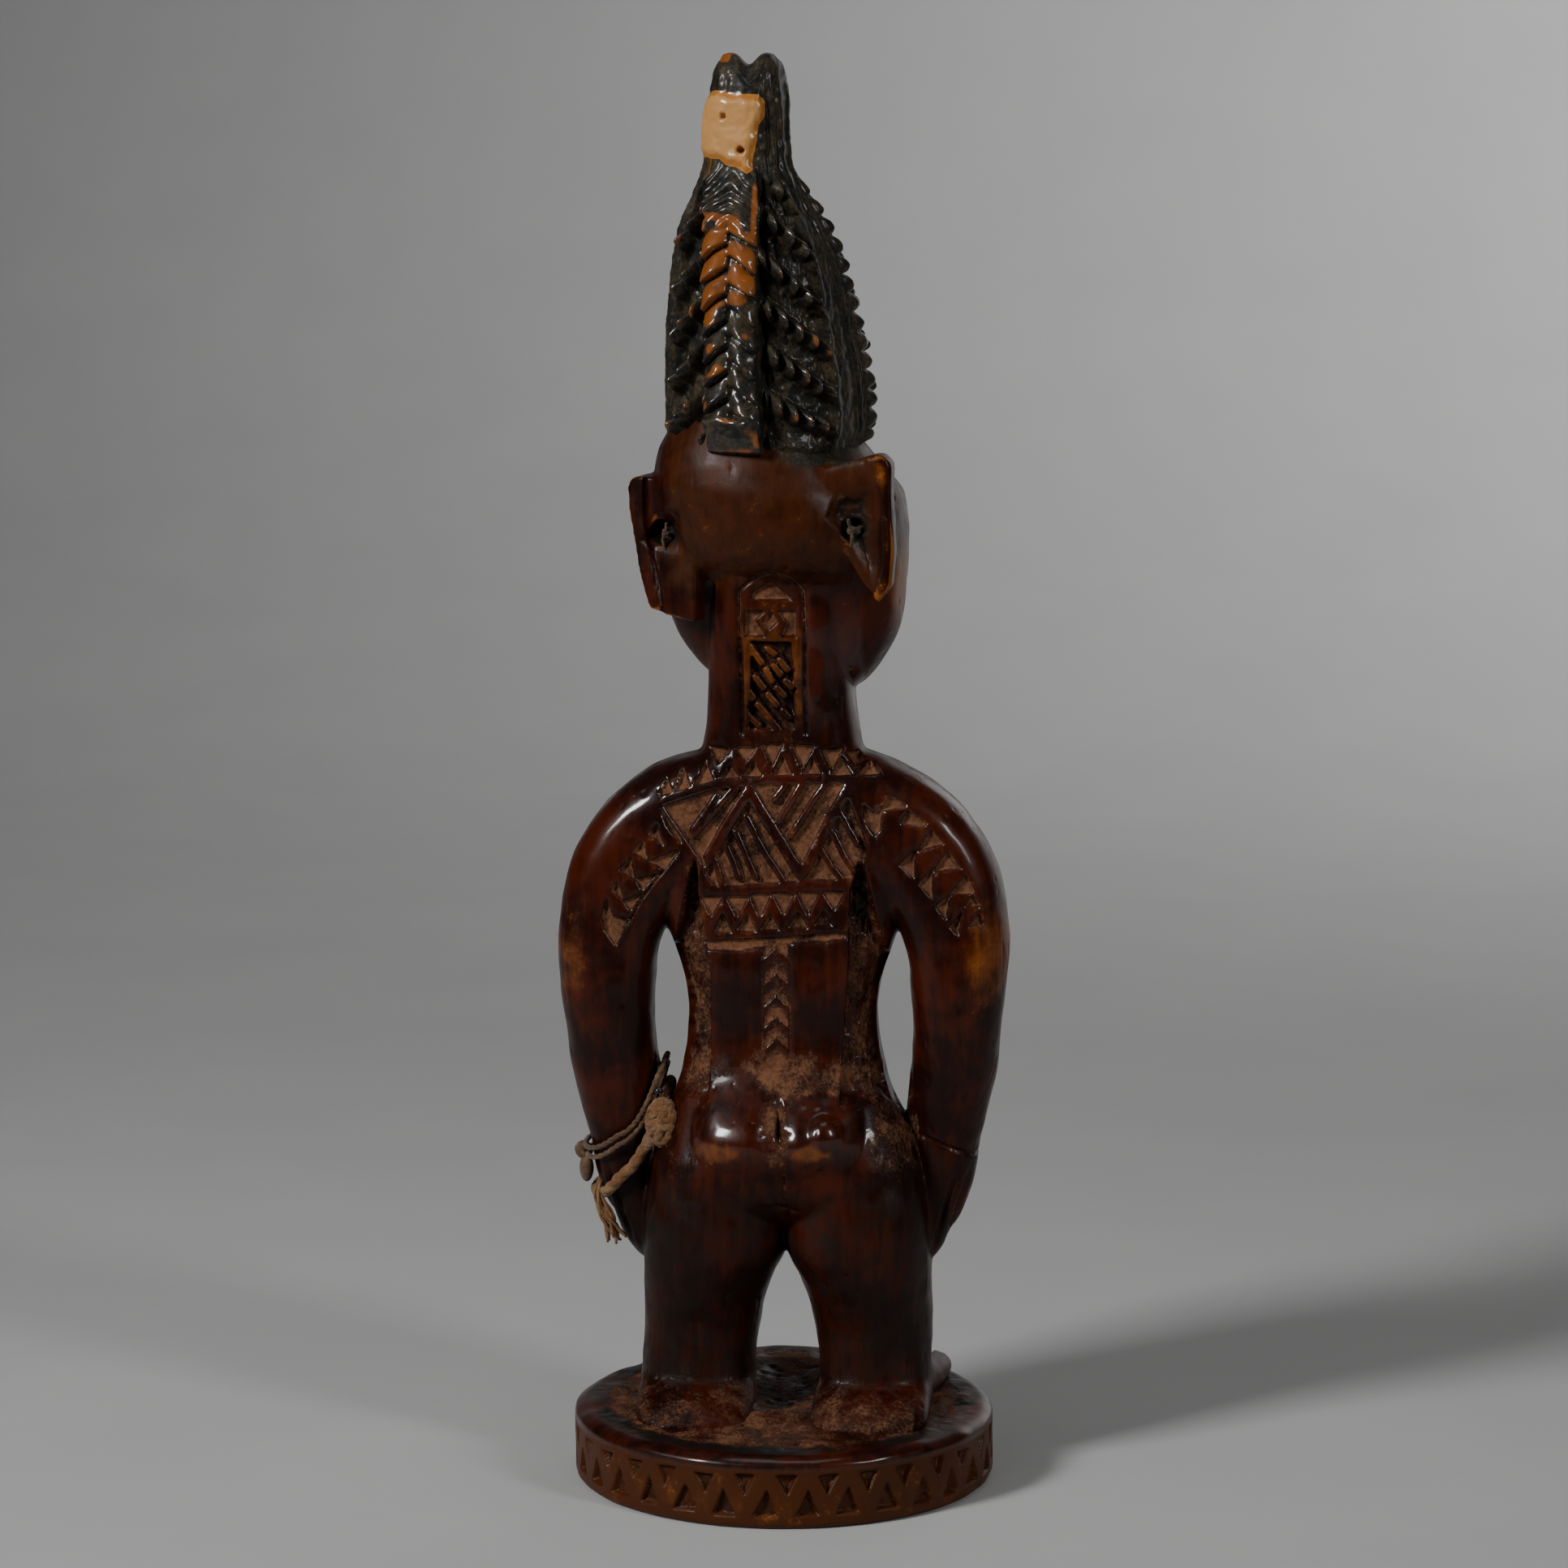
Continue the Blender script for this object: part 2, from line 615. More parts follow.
# Bands of sunk triangles on the arms, each corner as distances right and down of a place at the top of its
# band, in sixths of a photograph's pixel. A part is about six pixels there.
ARM_RIGHT = [
    [(530, 415), (625, 520), (425, 575)],
    [(655, 570), (760, 710), (550, 720)],
    [(785, 745), (870, 890), (665, 900)],
    [(840, 900), (900, 980), (775, 985)],
    [(890, 1040), (935, 1130), (810, 1135)],
    [(300, 380), (350, 270), (500, 370), (480, 395)],
    [(165, 275), (220, 180), (280, 200), (345, 240), (325, 265)],
    [(20, 230), (100, 300), (170, 240), (150, 430), (110, 470), (60, 400)],
    [(420, 570), (400, 785), (295, 680)],
    [(545, 695), (530, 930), (440, 820)],
    [(668, 900), (640, 1090), (565, 985)],
    [(765, 1015), (730, 1210), (668, 1130)],
]
ARM_LEFT = [
    [(545, 405), (590, 565), (480, 475)],
    [(430, 520), (480, 680), (365, 610)],
    [(345, 645), (375, 830), (260, 745)],
    [(245, 820), (295, 985), (200, 900)],
    [(165, 960), (210, 1100), (330, 1100), (230, 1320), (150, 1200), (125, 1080)],
    [(700, 595), (590, 745), (480, 680)],
    [(550, 775), (430, 900), (380, 820)],
    [(430, 920), (340, 1060), (290, 985)],
    [(565, 290), (720, 510), (725, 555), (620, 430)],
]
ARM_GROOVES = [([(690, 290), (890, 700)], 0.7), ([(230, 1310), (430, 960), (700, 600)], 0.35)]


def right_arm_point(across, down):
    return [-(94 + across / 6) / 5.93 - 0.85, 134.7 - 0.17 * (down / 6 - 16)]


def left_arm_point(across, down):
    return [(246 - across / 6) / 5.93 - 0.85, 134.7 - 0.17 * (down / 6 - 16)]


def standing(apex, foot, half):
    """A triangle on a level foot below its apex, or above it where the triangle hangs."""
    x, z = apex
    return [[x - half, foot], [x + half, foot], [x, z]]


def height_on(line, x):
    """The height of a line at a place across, from its [x, z] points in order of falling x."""
    line = np.asarray(line, float)[::-1]
    return np.interp(x, line[:, 0], line[:, 1])


def carve_back(carving):
    """The bands of the back: yoke, great zigzag, chest band, arm bands and the arrow column of the spine."""
    carving.sink(ZIGZAG_FIELD)
    carving.spare(ZIGZAG, 1.2)
    for stroke in ZIGZAG_STROKES:
        carving.spare(stroke, 0.72)
    for apex in YOKE_APEXES + YOKE_OUTER_APEXES:
        half = 2.2 if apex in YOKE_APEXES else 1.6
        carving.sink(by_hand(standing(apex, height_on(YOKE_RIDGE, apex[0]) + 0.8, half)))
    for apex in YOKE_HANGING:
        carving.sink(by_hand(standing(apex, 143.2 - 0.13 * abs(apex[0]), 2.3)))
    carving.spare(YOKE_RIDGE, 0.8, 0.4)
    for apex in CHEST_HANGING:
        carving.sink(by_hand(standing(apex, height_on(CHEST_TOP, apex[0]) + 0.3, 2.35)), CHEST_DEPTH)
    for apex in CHEST_UPRIGHT:
        carving.sink(by_hand(standing(apex, height_on(CHEST_FOOT, apex[0]), 2.0)), CHEST_DEPTH)
    carving.sink(CHEST_STRIP, 0.8)
    for cuts, seen in ((ARM_LEFT, left_arm_point), (ARM_RIGHT, right_arm_point)):
        for outline in cuts:
            carving.sink([seen(*corner) for corner in outline], 1.0)
    for line, half in ARM_GROOVES:
        carving.groove([left_arm_point(*corner) for corner in line], half, 1.0)
    carve_spine(carving)


def carve_spine(carving):
    """A column of arrow heads like the teeth of a saw: each starts level with the back at its arrow line and
    slopes inwards down to the next line, where the wood steps up again."""
    across, up = carving.place.T
    column = carving.faces_here & (np.abs(across - SPINE_X) < SPINE_HALF) & (up > 74.4) & (up < 102.2)
    rise = up[column] + 1.05 * np.abs(across[column] - SPINE_X)
    lines = np.array(SPINE_APEXES[::-1] + [107])
    tooth = np.clip(np.searchsorted(lines, rise), 1, len(lines) - 1)
    share = (lines[tooth] - rise) / (lines[tooth] - lines[tooth - 1])
    edge = step(0, 0.12, share)
    sides = step(0, 0.5, SPINE_HALF - np.abs(across[column] - SPINE_X))
    depth = 0.95 * blend(1, share * 0.9, edge) * sides
    carving.depth[column] = np.maximum(carving.depth[column], depth)
    for side in (-1, 1):
        x = SPINE_X + side * SPINE_HALF
        carving.groove([[x, 102], [x + 0.2 * side, 75]], 0.5, 0.5)


def neck_point(crop_x, crop_y):
    """A place on the nape from the distances right and down of the panel's upper left corner, in sixths of a
    photograph's pixel, which is about 6 to a part."""
    return [7.3 - (crop_x - 165) / 36.3, 173.4 - (crop_y - 300) / 37.5]


def carve_neck(carving):
    """The panel down the nape: a gable, a lozenge between two sunk fields, and a frame crossed by bars."""
    field = lambda *corners: [neck_point(*corner) for corner in corners]
    carving.sink(field((225, 640), (525, 650), (535, 1330), (205, 1330)), 1.5)
    for bar in (
        [(210, 680), (300, 810), (400, 990), (470, 1070)],
        [(340, 690), (410, 750), (500, 870)],
        [(250, 920), (330, 1040), (410, 1140), (500, 1240)],
        [(200, 1040), (260, 1130), (340, 1230), (420, 1330)],
        [(190, 1230), (270, 1300)],
        [(390, 830), (525, 1010)],
    ):
        carving.spare(field(*bar), 0.78)
    for cut in (
        [(225, 900), (450, 740)],
        [(300, 1060), (540, 860)],
        [(400, 1210), (550, 1010)],
        [(200, 1160), (290, 1080)],
    ):
        carving.groove(field(*cut), 0.5, 0.8)
    for side in (
        [(180, 400), (330, 400), (250, 470), (330, 600), (180, 600)],
        [(560, 400), (430, 390), (490, 480), (440, 600), (560, 610)],
    ):
        carving.sink(field(*side), 1.0)
    carving.sink(field((370, 400), (315, 480), (350, 550), (430, 480)), 0.8)
    carving.sink(field((235, 310), (240, 250), (380, 170), (540, 310)), 0.9)
    for x in (138, 620):
        carving.groove(field((x, 240), (x + 5, 1370)), 0.7, 0.8)
    carving.groove(field((138, 240), (260, 130), (385, 80), (520, 130), (620, 240)), 0.6, 0.7)


def carve_head(points, normal):
    """Cuts on the head, in its own unturned place, and how far each point lies in an ear's pit and on its rim:
    the hollows of the ears, their holes, eyelids, nostrils and mouth."""
    x, y, z = turned(points, -HEAD_TURN).T
    facing = turned(normal, -HEAD_TURN)
    depth, pit, rim = np.zeros((3, len(x)))
    for side, shape in ((1, EAR_LEFT), (-1, EAR_RIGHT)):
        ear = turned(np.stack([side * x, y, z], 1) - EAR_ROOT, -EAR_TURN)
        at_ear = (side * x > 14) & (z > 160) & (z < 206)
        behind = np.flatnonzero((ear[:, 1] > -2.6) & (facing[:, 1] > 0.2) & at_ear)
        flat = ear[behind][:, [0, 2]]
        inside = outline_depth(flat, shape["hollow"])
        bowl = 1.8 * step(-0.6, 3.6, inside)
        gap = np.hypot((ear[behind, 0] - shape["pit"][0]) / 2.6, (ear[behind, 2] - shape["pit"][1]) / 2.7)
        depth[behind] = np.maximum(bowl, 3.3 * (1 - step(0.5, 1.15, gap)))
        pit[behind] = np.maximum(0.64 * step(-0.4, 2.4, inside), 1 - step(0.8, 1.3, gap))
        rim[behind] = step(-0.5, 2.2, outline_depth(flat, shape["rim"])) * (1 if side < 0 else 0.4)
        eye = turned(np.stack([side * x, y, z], 1) - EYE, -EYE_TURN)
        near = (facing[:, 1] < -0.3) & (side * x > 0) & (np.abs(eye[:, 1]) < 6) & (np.abs(eye[:, 0]) < 6.6)
        for lift in (2.3, -2.0):
            lid = eye[:, 2] - lift * (1 - (eye[:, 0] / 7) ** 2)
            depth = np.maximum(depth, np.where(near, 0.7 * bump(0, 0.7, lid), 0))
        nostril = ((side * x - 3) / 1.5) ** 2 + ((z - 170.6) / 1.2) ** 2
        below = (facing[:, 2] < 0.2) & (y < -28)
        depth = np.maximum(depth, np.where(below, 1.2 * (1 - step(0.4, 1.2, nostril)), 0))
    mouth = bump(163.1, 0.8, z + 0.012 * x * x) * (np.abs(x) < 6.8) * (y < -22)
    return np.maximum(depth, 0.9 * mouth), pit, rim


# Worn lobes under the seat, as [x, z, half width, half height].
SEAT_LOBES = [[11.8, 58, 7, 3.4], [-7.3, 58.4, 6, 3]]


def carve_digits(points, normal):
    """Cuts between the toes and between the fingers."""
    x, y, z = points.T
    depth = np.zeros(len(x))
    feet = (z < 14) & (y < -17)
    for side in (1, -1):
        hand = (z > 31) & (z < 55) & (side * x > 26) & (normal[:, 1] > -0.2)
        for place in (-1.5, -0.5, 0.5, 1.5):
            toe = np.abs(x - LEGS_X - side * 22.4 - place * 4.4)
            finger = np.abs(side * x - 37.5 + place * 2.6 - 0.30 * (z - 40))
            depth = highest(
                depth,
                np.where(feet, 1.1 * (1 - step(0, 1.0, toe)), 0),
                np.where(hand, 1.2 * (1 - step(0, 0.9, finger)) * bump(43, 12, z), 0),
            )
    return depth


def shaped_body():
    """The skin of the body with its cuts, as points, quads and the finish at each point."""
    points, quads = fused(body_forms(), VOXEL)
    points = smoothed(points, quads, RASPED)
    x, y, z = points.T
    # Creases between big forms are rounded as the carver's rasp and long handling left them.
    worn = highest(
        bump(76, 9, z) * step(4, 8, y) * (np.abs(x) < 24),
        bump(50, 11, z) * step(6, 12, y),
        bump(146, 9, z),
        bump(7, 8, z),
        bump(181, 8, z) * step(10, 14, y) * (np.abs(x) < 20),
        bump(198, 12, z) * step(6, 12, y) * (np.abs(x + 6) < 20),
        step(-6, -12, y) * bump(90, 60, z),
    )
    points = smoothed(points, quads, HANDLED, worn)
    normal = normals_of(points, quads)
    points = points + normal * (0.3 * grain(points, 9) + 0.13 * grain(points, 3.4, 2))[:, None]
    x, y, z = points.T
    wobble = 0.1 * grain(points, 2.6, 3), 0.1 * grain(points, 2.6, 4)

    carving = Carving(x + wobble[0], z + wobble[1], (normal[:, 1] > 0.3) & (y > 3) & (z > 68) & (z < 146))
    carve_back(carving)
    nape = Carving(x + wobble[0], z + wobble[1], (normal[:, 1] > 0.45) & (y > 4) & (z >= 144.6) & (z < 182))
    carve_neck(nape)
    scars = carving.depth + nape.depth

    # Flanks beside the back panel, and the wedge under each arm, lie deeper than the panel.
    edge_left = np.interp(z, *np.array(PANEL_LEFT)[::-1].T[::-1])
    edge_right = np.interp(z, *np.array(PANEL_RIGHT)[::-1].T[::-1])
    beside = np.maximum(x - edge_left, edge_right - x)
    out = np.abs(x)
    arm_side = np.where(x > 0, 21.8, 21.4) + 0.17 * np.abs(z - 96) * (z < 96)
    inside_arm = step(-0.2, 0.5, arm_side + 1.6 - out - 0.24 * (z - 96) * (z > 96))
    facing_back = (normal[:, 1] > 0.1) * (y > 2)
    flank = step(-0.2, 0.3, beside) * inside_arm * step(119.5, 116, z) * step(66, 72, z) * facing_back
    ragged = 0.5 + 0.5 * grain(points, 1.6, 14)
    flank_cut = (1.5 + 1.6 * step(98, 106, z) + 0.5 * ragged) * flank

    # The cleft of the seat, running down to the opening between the legs, and small creases there.
    cleft = bump(-0.5 + 0.1 * (z - 64), 0.9, x) * (y > 10) * (2.2 * bump(64.5, 6, z) + 0.6 * bump(50, 14, z))
    cleft = cleft + 1.5 * bump(0.4, 5.5, x) * bump(62, 10, z) * (y > 10)
    crease = bump(46.6 + 0.35 * x, 0.5, z) * bump(-2.5, 3, x) * (y > 10)
    holes, pit, rim = carve_head(points, normal)
    cuff = bump(56.5 + 0.4 * (x + 36), 0.7, z) * (x < -29)
    digits = carve_digits(points, normal)
    cut = highest(scars, flank_cut, cleft, 0.5 * crease, holes, digits, 0.6 * cuff)
    scratch = step(0.62, 0.8, grain(points / [1, 1, 5], 0.8, 15))
    rough = 1 + 0.2 * grain(points, 0.9, 5)
    points = points - normal * (cut * rough + 0.12 * scratch)[:, None]

    hollow = hollowness(points, quads, CREASE)
    broad = hollowness(points, quads, BROAD)
    patchy = 0.5 + 0.5 * grain(points, 5, 6)
    fine = 0.5 + 0.5 * grain(points, 2.2, 16)

    # Dry earth in the cuts and creases, on the flanks, the small of the back, the hips and the feet.
    field = bump(124.5, 10.4, z) ** 0.3 * (out < 20) * (y > 6)
    crust = np.clip(cut / 0.7, 0, 1) * (0.95 - 0.35 * field * patchy - 0.3 * step(112, 106, z) * patchy)
    crust = crust * np.where((z > 144.6) & (z < 165.6), 0.45, 1)
    crust = crust * (1 - 0.6 * (flank > 0.2))
    crust = highest(crust, step(0.10, 0.34, hollow) * 0.6, step(0.25, 0.9, broad) * 0.6) * (1 - pit)
    crust = crust * (1 - 0.4 * bump(60, 9, z) * (out < 8) * (y > 10))
    foot = 68.8 + 3.6 * step(0, 7, x) + 1.4 * step(-1, -9, x) + 2.4 * (fine - 0.5) + 2.4 * (patchy - 0.5)
    small_of_back = step(foot - 2, foot + 2, z) * step(79.4, 75.4, z + 3 * fine) * (y > 4) * (out < 20)
    wedge = step(0, 2.4, 0.8 * (z - 66.4) - np.abs(x + 1.4)) * step(80, 76, z) * (y > 4)
    hips = bump(60, 17, z) * step(17, 20, out) * (out < 29) * (y > -4) * np.where(x < 0, 1, 0.6)
    low = highest(np.maximum(small_of_back, wedge) * (0.56 + 0.3 * patchy), hips * (0.3 + 0.5 * patchy))
    heels = step(13, 4, z + 9 * (patchy - 0.5) + 3 * (fine - 0.5)) * (0.36 + 0.36 * patchy)
    beside_nape = bump(173, 6, z) * step(11.5, 14.5, np.abs(x - 0.4)) * (y > 2) * (out < 19) * 0.55
    crust = highest(crust, flank * (0.4 + 0.36 * fine), low, heels, beside_nape)
    crust = crust * (1 - step(13.5, 16, out) * step(166, 170, z))
    crust = crust * np.where((out > 29) & (z < 60), 0.5, 1)
    crumbs = 0.5 + 0.3 * grain(points, 1.5, 31) + 0.3 * grain(points, 0.8, 32)
    loose = highest(flank, low, step(13, 4, z))
    points = points + normal * (0.42 * crust * loose * crumbs)[:, None]

    # Lacquer rubbed off the edges, the lobes, the arms, the head and the nape's bars.
    wear = step(0.07, 0.24, -hollow) * 0.42 * (1 - crust)
    for at_x, at_z, half_x, half_z in SEAT_LOBES:
        lobe = np.hypot((x - at_x) / half_x, (z - at_z) / half_z) + 0.35 * (fine - 0.5)
        wear = highest(wear, step(1.4, 0.2, lobe) * (y > 10) * 0.7)
    bars = (1 - step(0.15, 0.5, nape.depth)) * (np.abs(x - 1) < 6.6) * (y > 8)
    wear = highest(
        wear,
        step(0.05, 0.22, -hollow) * (z > 168) * (out > 20),
        bump(97, 26, z) * step(36, 43, x) * 0.52,
        bump(99, 24, z) * step(-34, -42, x) * 0.66,
        bump(188, 22, z) * (y > 6) * (out < 24) * 0.3,
        bump(176, 22, z) * step(-19, -24, x) * (y < 12) * 0.7,
        bump(158, 18, z) ** 0.3 * bars * 0.62,
    )
    rubbed_legs = bump(24, 30, z) * (y > 6) * step(0.6, 0.9, patchy) * 0.3
    wear = highest(wear * (1 - pit), rim * (0.5 + 0.24 * fine), rubbed_legs)
    grime = highest(
        flank * step(100, 108, z) * 0.6,
        pit,
        step(0.3, 0.9, nape.depth) * step(166, 164, z) * (0.42 + 0.34 * fine),
        bump(48, 34, z) * (out > 27) * 0.56,
        step(58, 46, z) * step(2, 8, z) * (y > 2) * 0.58,
        step(0.5, 1.4, hollow) * 0.8,
        bump(182, 3.5, z) * (y > 10) * (out < 18) * 0.5,
        step(7, 2, z + 4 * (fine - 0.5)) * 0.4,
    )
    smear = step(199, 205, z + 3 * patchy) * (0.25 + 0.5 * bump(-9, 14, x) * (y > 0))
    polish = highest(
        bump(131, 12, z) * (y > 2),
        bump(159, 20, z) * (y > 0) * step(-3, -5, x) * (x > -17) * 0.9,
        bump(63, 10, z) * (y > 12) * (out < 20),
        0.2 * bump(100, 60, z),
    )
    brown = 0.56 * step(170, 178, z) * step(25, 20, np.abs(x - 1))
    finish = {"crust": crust, "wear": wear, "indigo": smear, "grime": grime, "polish": polish, "brown": brown}
    return points, quads, finish


def placed(points):
    """Points in parts above the plinth, in metres in the frame."""
    return (np.asarray(points) * PART + [0, 0, PLINTH_HEIGHT]) * MM


def dressed(name, points, faces, finish, most=None):
    """An object from points in metres, with its finish stored per point, thinned to a number of triangles."""
    mesh = mesh_of(name, points, faces)
    for key, values in (finish or {}).items():
        mesh.attributes.new(key, "FLOAT", "POINT").data.foreach_set("value", np.clip(values, 0, 1))
    obj = linked(name, mesh)
    triangles = sum(len(face) - 2 for face in faces)
    if most and triangles > most:
        thin = obj.modifiers.new("thin", "DECIMATE")
        thin.ratio = most / triangles
        obj = linked(name, finished_mesh(obj))
        obj.name = name
    obj.data.shade_smooth()
    return obj


# Hair: a tall crown that leans back, as rows of [x, y, z, half width, back, front, squareness].
CROWN = [
    [2.2, 3, 203.4, 18.4, 19, 18.4, 2.3],
    [2.3, 3.2, 208, 20.2, 20.2, 20, 2.3],
    [2.3, 3.6, 214, 20.3, 19.8, 20.2, 2.3],
    [2.5, 4.4, 220, 20.0, 19, 20, 2.3],
    [2.7, 5.4, 226, 19.4, 17.8, 19.4, 2.3],
    [2.9, 6.5, 232, 18.5, 16.6, 18.4, 2.3],
    [3.0, 7.7, 238, 17.5, 15.2, 17, 2.3],
    [3.1, 8.8, 244, 16.4, 13.6, 15.2, 2.3],
    [3.3, 10.1, 250, 14.4, 11.8, 13, 2.3],
    [3.4, 11.2, 256, 11.2, 9.8, 10.6, 2.4],
    [3.5, 12, 262, 8.7, 8.4, 8.8, 2.5],
    [3.6, 12.3, 268, 8.3, 7.8, 8.2, 2.5],
    [3.1, 12.6, 275, 7.7, 7.4, 8, 2.6],
    [2.9, 12.6, 280.6, 6.9, 6.6, 7, 2.5],
    [2.9, 12.6, 283.6, 5.2, 4.8, 5.2, 2.4],
]
PLAIT_HALF = 4.6
PLAIT_PITCH = 5.3
BRAID_PITCH = 9.2
BRAID_FOOT = 216.3
BEAD_PITCH = 3.2
CREST_PITCH = 3.95
# The bare block, as distances round from the back and heights.
BARE_BLOCK = [
    [9.4, 275], [8.4, 276], [3, 276.6], [-4, 276], [-5.9, 274.4], [-5.8, 271.8], [-4.3, 270.2], [-3.9, 267],
    [-3.4, 263.6], [-3.6, 260.6], [-2.4, 259.8], [-0.8, 261], [0.8, 261.6], [2.2, 262.8], [6.2, 263.2], [9.4, 262.8],
]
# Pin holes in the block, as [degrees round from the back, height, size].
PIN_HOLES = [[10, 271.6, 0.5], [-8, 264.8, 0.7]]


def hair_relief(angle, z, radius):
    """How far the hair stands out at each angle from the back and each height, with its finish there."""
    side = np.abs(angle)
    arc = np.radians(side) * radius
    spot = np.stack([np.radians(angle) * radius, z, angle * 0], -1)
    plain = step(252, 262, z)
    lift = np.zeros_like(z)

    # Flank braids: rows that fall away from the plait, each a string of knobs with a deep hollow below it.
    loose = grain(spot, 4.5, 13)
    across = np.minimum(side, 180 - side)
    left = (angle > 0) & (angle < 90)
    run = np.radians(across) * radius
    slope = 0.45 + 0.6 * np.clip((z - 207) / 55, 0, 1) + 0.2 * left
    fall = z - BRAID_FOOT + slope * (run - 5) + 0.5 * loose
    count = np.floor(fall / BRAID_PITCH + 0.5)
    row = fall / BRAID_PITCH + 0.5 - count - 0.5
    share = ((run + 0.12 * row * BRAID_PITCH) / BEAD_PITCH + 0.37 * count + 0.1 * loose) % 1
    knob = share ** 0.7 * step(1.0, 0.74, share) * 1.35
    rope = np.clip(1 - (np.abs(row + 0.08) / 0.25) ** 2, 0, 1) ** 0.6
    end = np.where(left, step(48, 42, across), step(68, 58, across))
    flank = step(14, 18, across) * end * (1 - plain) * step(204, 209, z)
    braid = rope * (0.25 + 1.3 * knob) * 2.6 - 1.9
    lift += flank * braid + 0.25 * (1 - rope) * flank * grain(spot, 0.9, 17)

    # Bands down the sides: a smooth panel, fine ridges and a crest of beads.
    panel = np.where(left, step(46, 52, across), step(66, 72, across)) * step(92, 86, across)
    lift += panel * (-0.5) * (1 - plain)
    fine_ridges = 0.3 + 0.45 * np.abs(np.sin(np.pi * side / 5.2))
    lift += left * step(52, 56, side) * step(84, 78, side) * (1 - plain) * fine_ridges
    ridges = step(84, 88, side) * step(101, 97, side)
    lift += ridges * (0.7 * np.abs(np.sin(np.pi * (side - 84) / 4.4)) - 0.1) * (1 - plain)
    bead = np.abs(np.sin(np.pi * (z - 204) / CREST_PITCH)) ** 0.6
    crest = bump(104, 9, side) ** 0.7
    lift += crest * (0.6 + 1.9 * bead) * (1 - plain) * step(203.5, 206, z)

    # Plait down the back, and its match in front: two columns of lobes that overlap like scales.
    middle = np.minimum(arc, np.radians(180 - side) * radius)
    hand = np.sign(angle) * np.where(side > 90, -1, 1)
    within = step(PLAIT_HALF + 0.4 + 0.5 * loose, PLAIT_HALF - 0.5 + 0.5 * loose, middle)
    share = ((262 - z - 0.75 * middle + np.where(hand > 0, 0, 2.2) + 0.9 * loose) / PLAIT_PITCH) % 1
    lobe = (0.15 + share ** 0.7) * step(1.0, 0.8, share)
    column = np.clip(1 - (np.abs(middle - 2.3) / 2.8) ** 2.2, 0, 1)
    plait = 0.9 + 2.9 * lobe * column
    strokes = 1.7 + 0.9 * np.abs(np.sin(np.pi * (z + 1.1 * middle) / 2.6 + loose))
    plait = blend(plait, strokes, step(247, 252, z))
    tail = step(211.5, 210.5, z)
    plait = blend(plait, 2.9 + 0.5 * loose, tail)
    plait_end = step(203.0, 204.4, z)
    lift = blend(lift, plait * plait_end * (1 - plain * 0.6), within * (1 - 0.9 * step(258, 263, z)))
    edge = bump(PLAIT_HALF + 0.9, 0.9, middle) * (1 - plain)
    lift -= edge * 1.2

    # The bare block on top, with two pin holes, and the dark band over it.
    shaken = spot[..., :2] + 0.3 * loose[..., None]
    edge = outline_depth(shaken.reshape(-1, 2), BARE_BLOCK).reshape(z.shape)
    block = step(-0.3, 0.2, edge)
    lift += 0.8 * step(-0.4, 2.2, edge)
    for turn, height, size in PIN_HOLES:
        gap = np.hypot(np.radians(angle - turn) * radius, z - height)
        lift -= 2.2 * (1 - step(size * 0.6, size * 1.2, gap))
    lift += 0.3 * plain * step(38, 48, -angle) * np.sin(angle / 3.4 + loose) * step(280, 276, z)
    lift += 0.18 * grain(spot, 1.7, 11) + 0.1 * grain(spot, 0.8, 18)

    torn = grain(spot, 2.4, 12)
    fade = step(224, 240, z) * step(255, 247, z)
    worn = within * step(0.4, 0.62, fade + 0.42 * torn - 0.1 * (arc * hand < -2.6))
    strip = bump(-3.6, 1.2, arc * hand) * step(246, 249, z) * step(260, 257, z)
    strip = np.maximum(strip, bump(5.0, 0.6, arc * hand) * step(252, 255, z) * step(265, 263, z))
    bare = block * (0.55 + 0.45 * step(0.2, 2.2, edge))
    wear = highest(
        worn * step(0.9, 2.0, lift) * (0.7 + 0.2 * torn),
        strip * 0.8,
        within * step(2.0, 3.2, lift) * (0.35 + 0.4 * step(0, 0.5, torn)),
        flank * step(0.9, 1.7, lift) * (0.16 + 0.42 * step(0.1, 0.5, torn)),
        step(281, 283, z) * step(0.0, 0.3, torn) * 0.8,
        crest * 0.35 * (1 - plain),
    )
    polish = 0.15 + 0.75 * step(0.6, 1.8, lift) * (1 - plain) + 0.5 * block
    return lift, {"wear": wear, "bare": bare, "polish": polish}


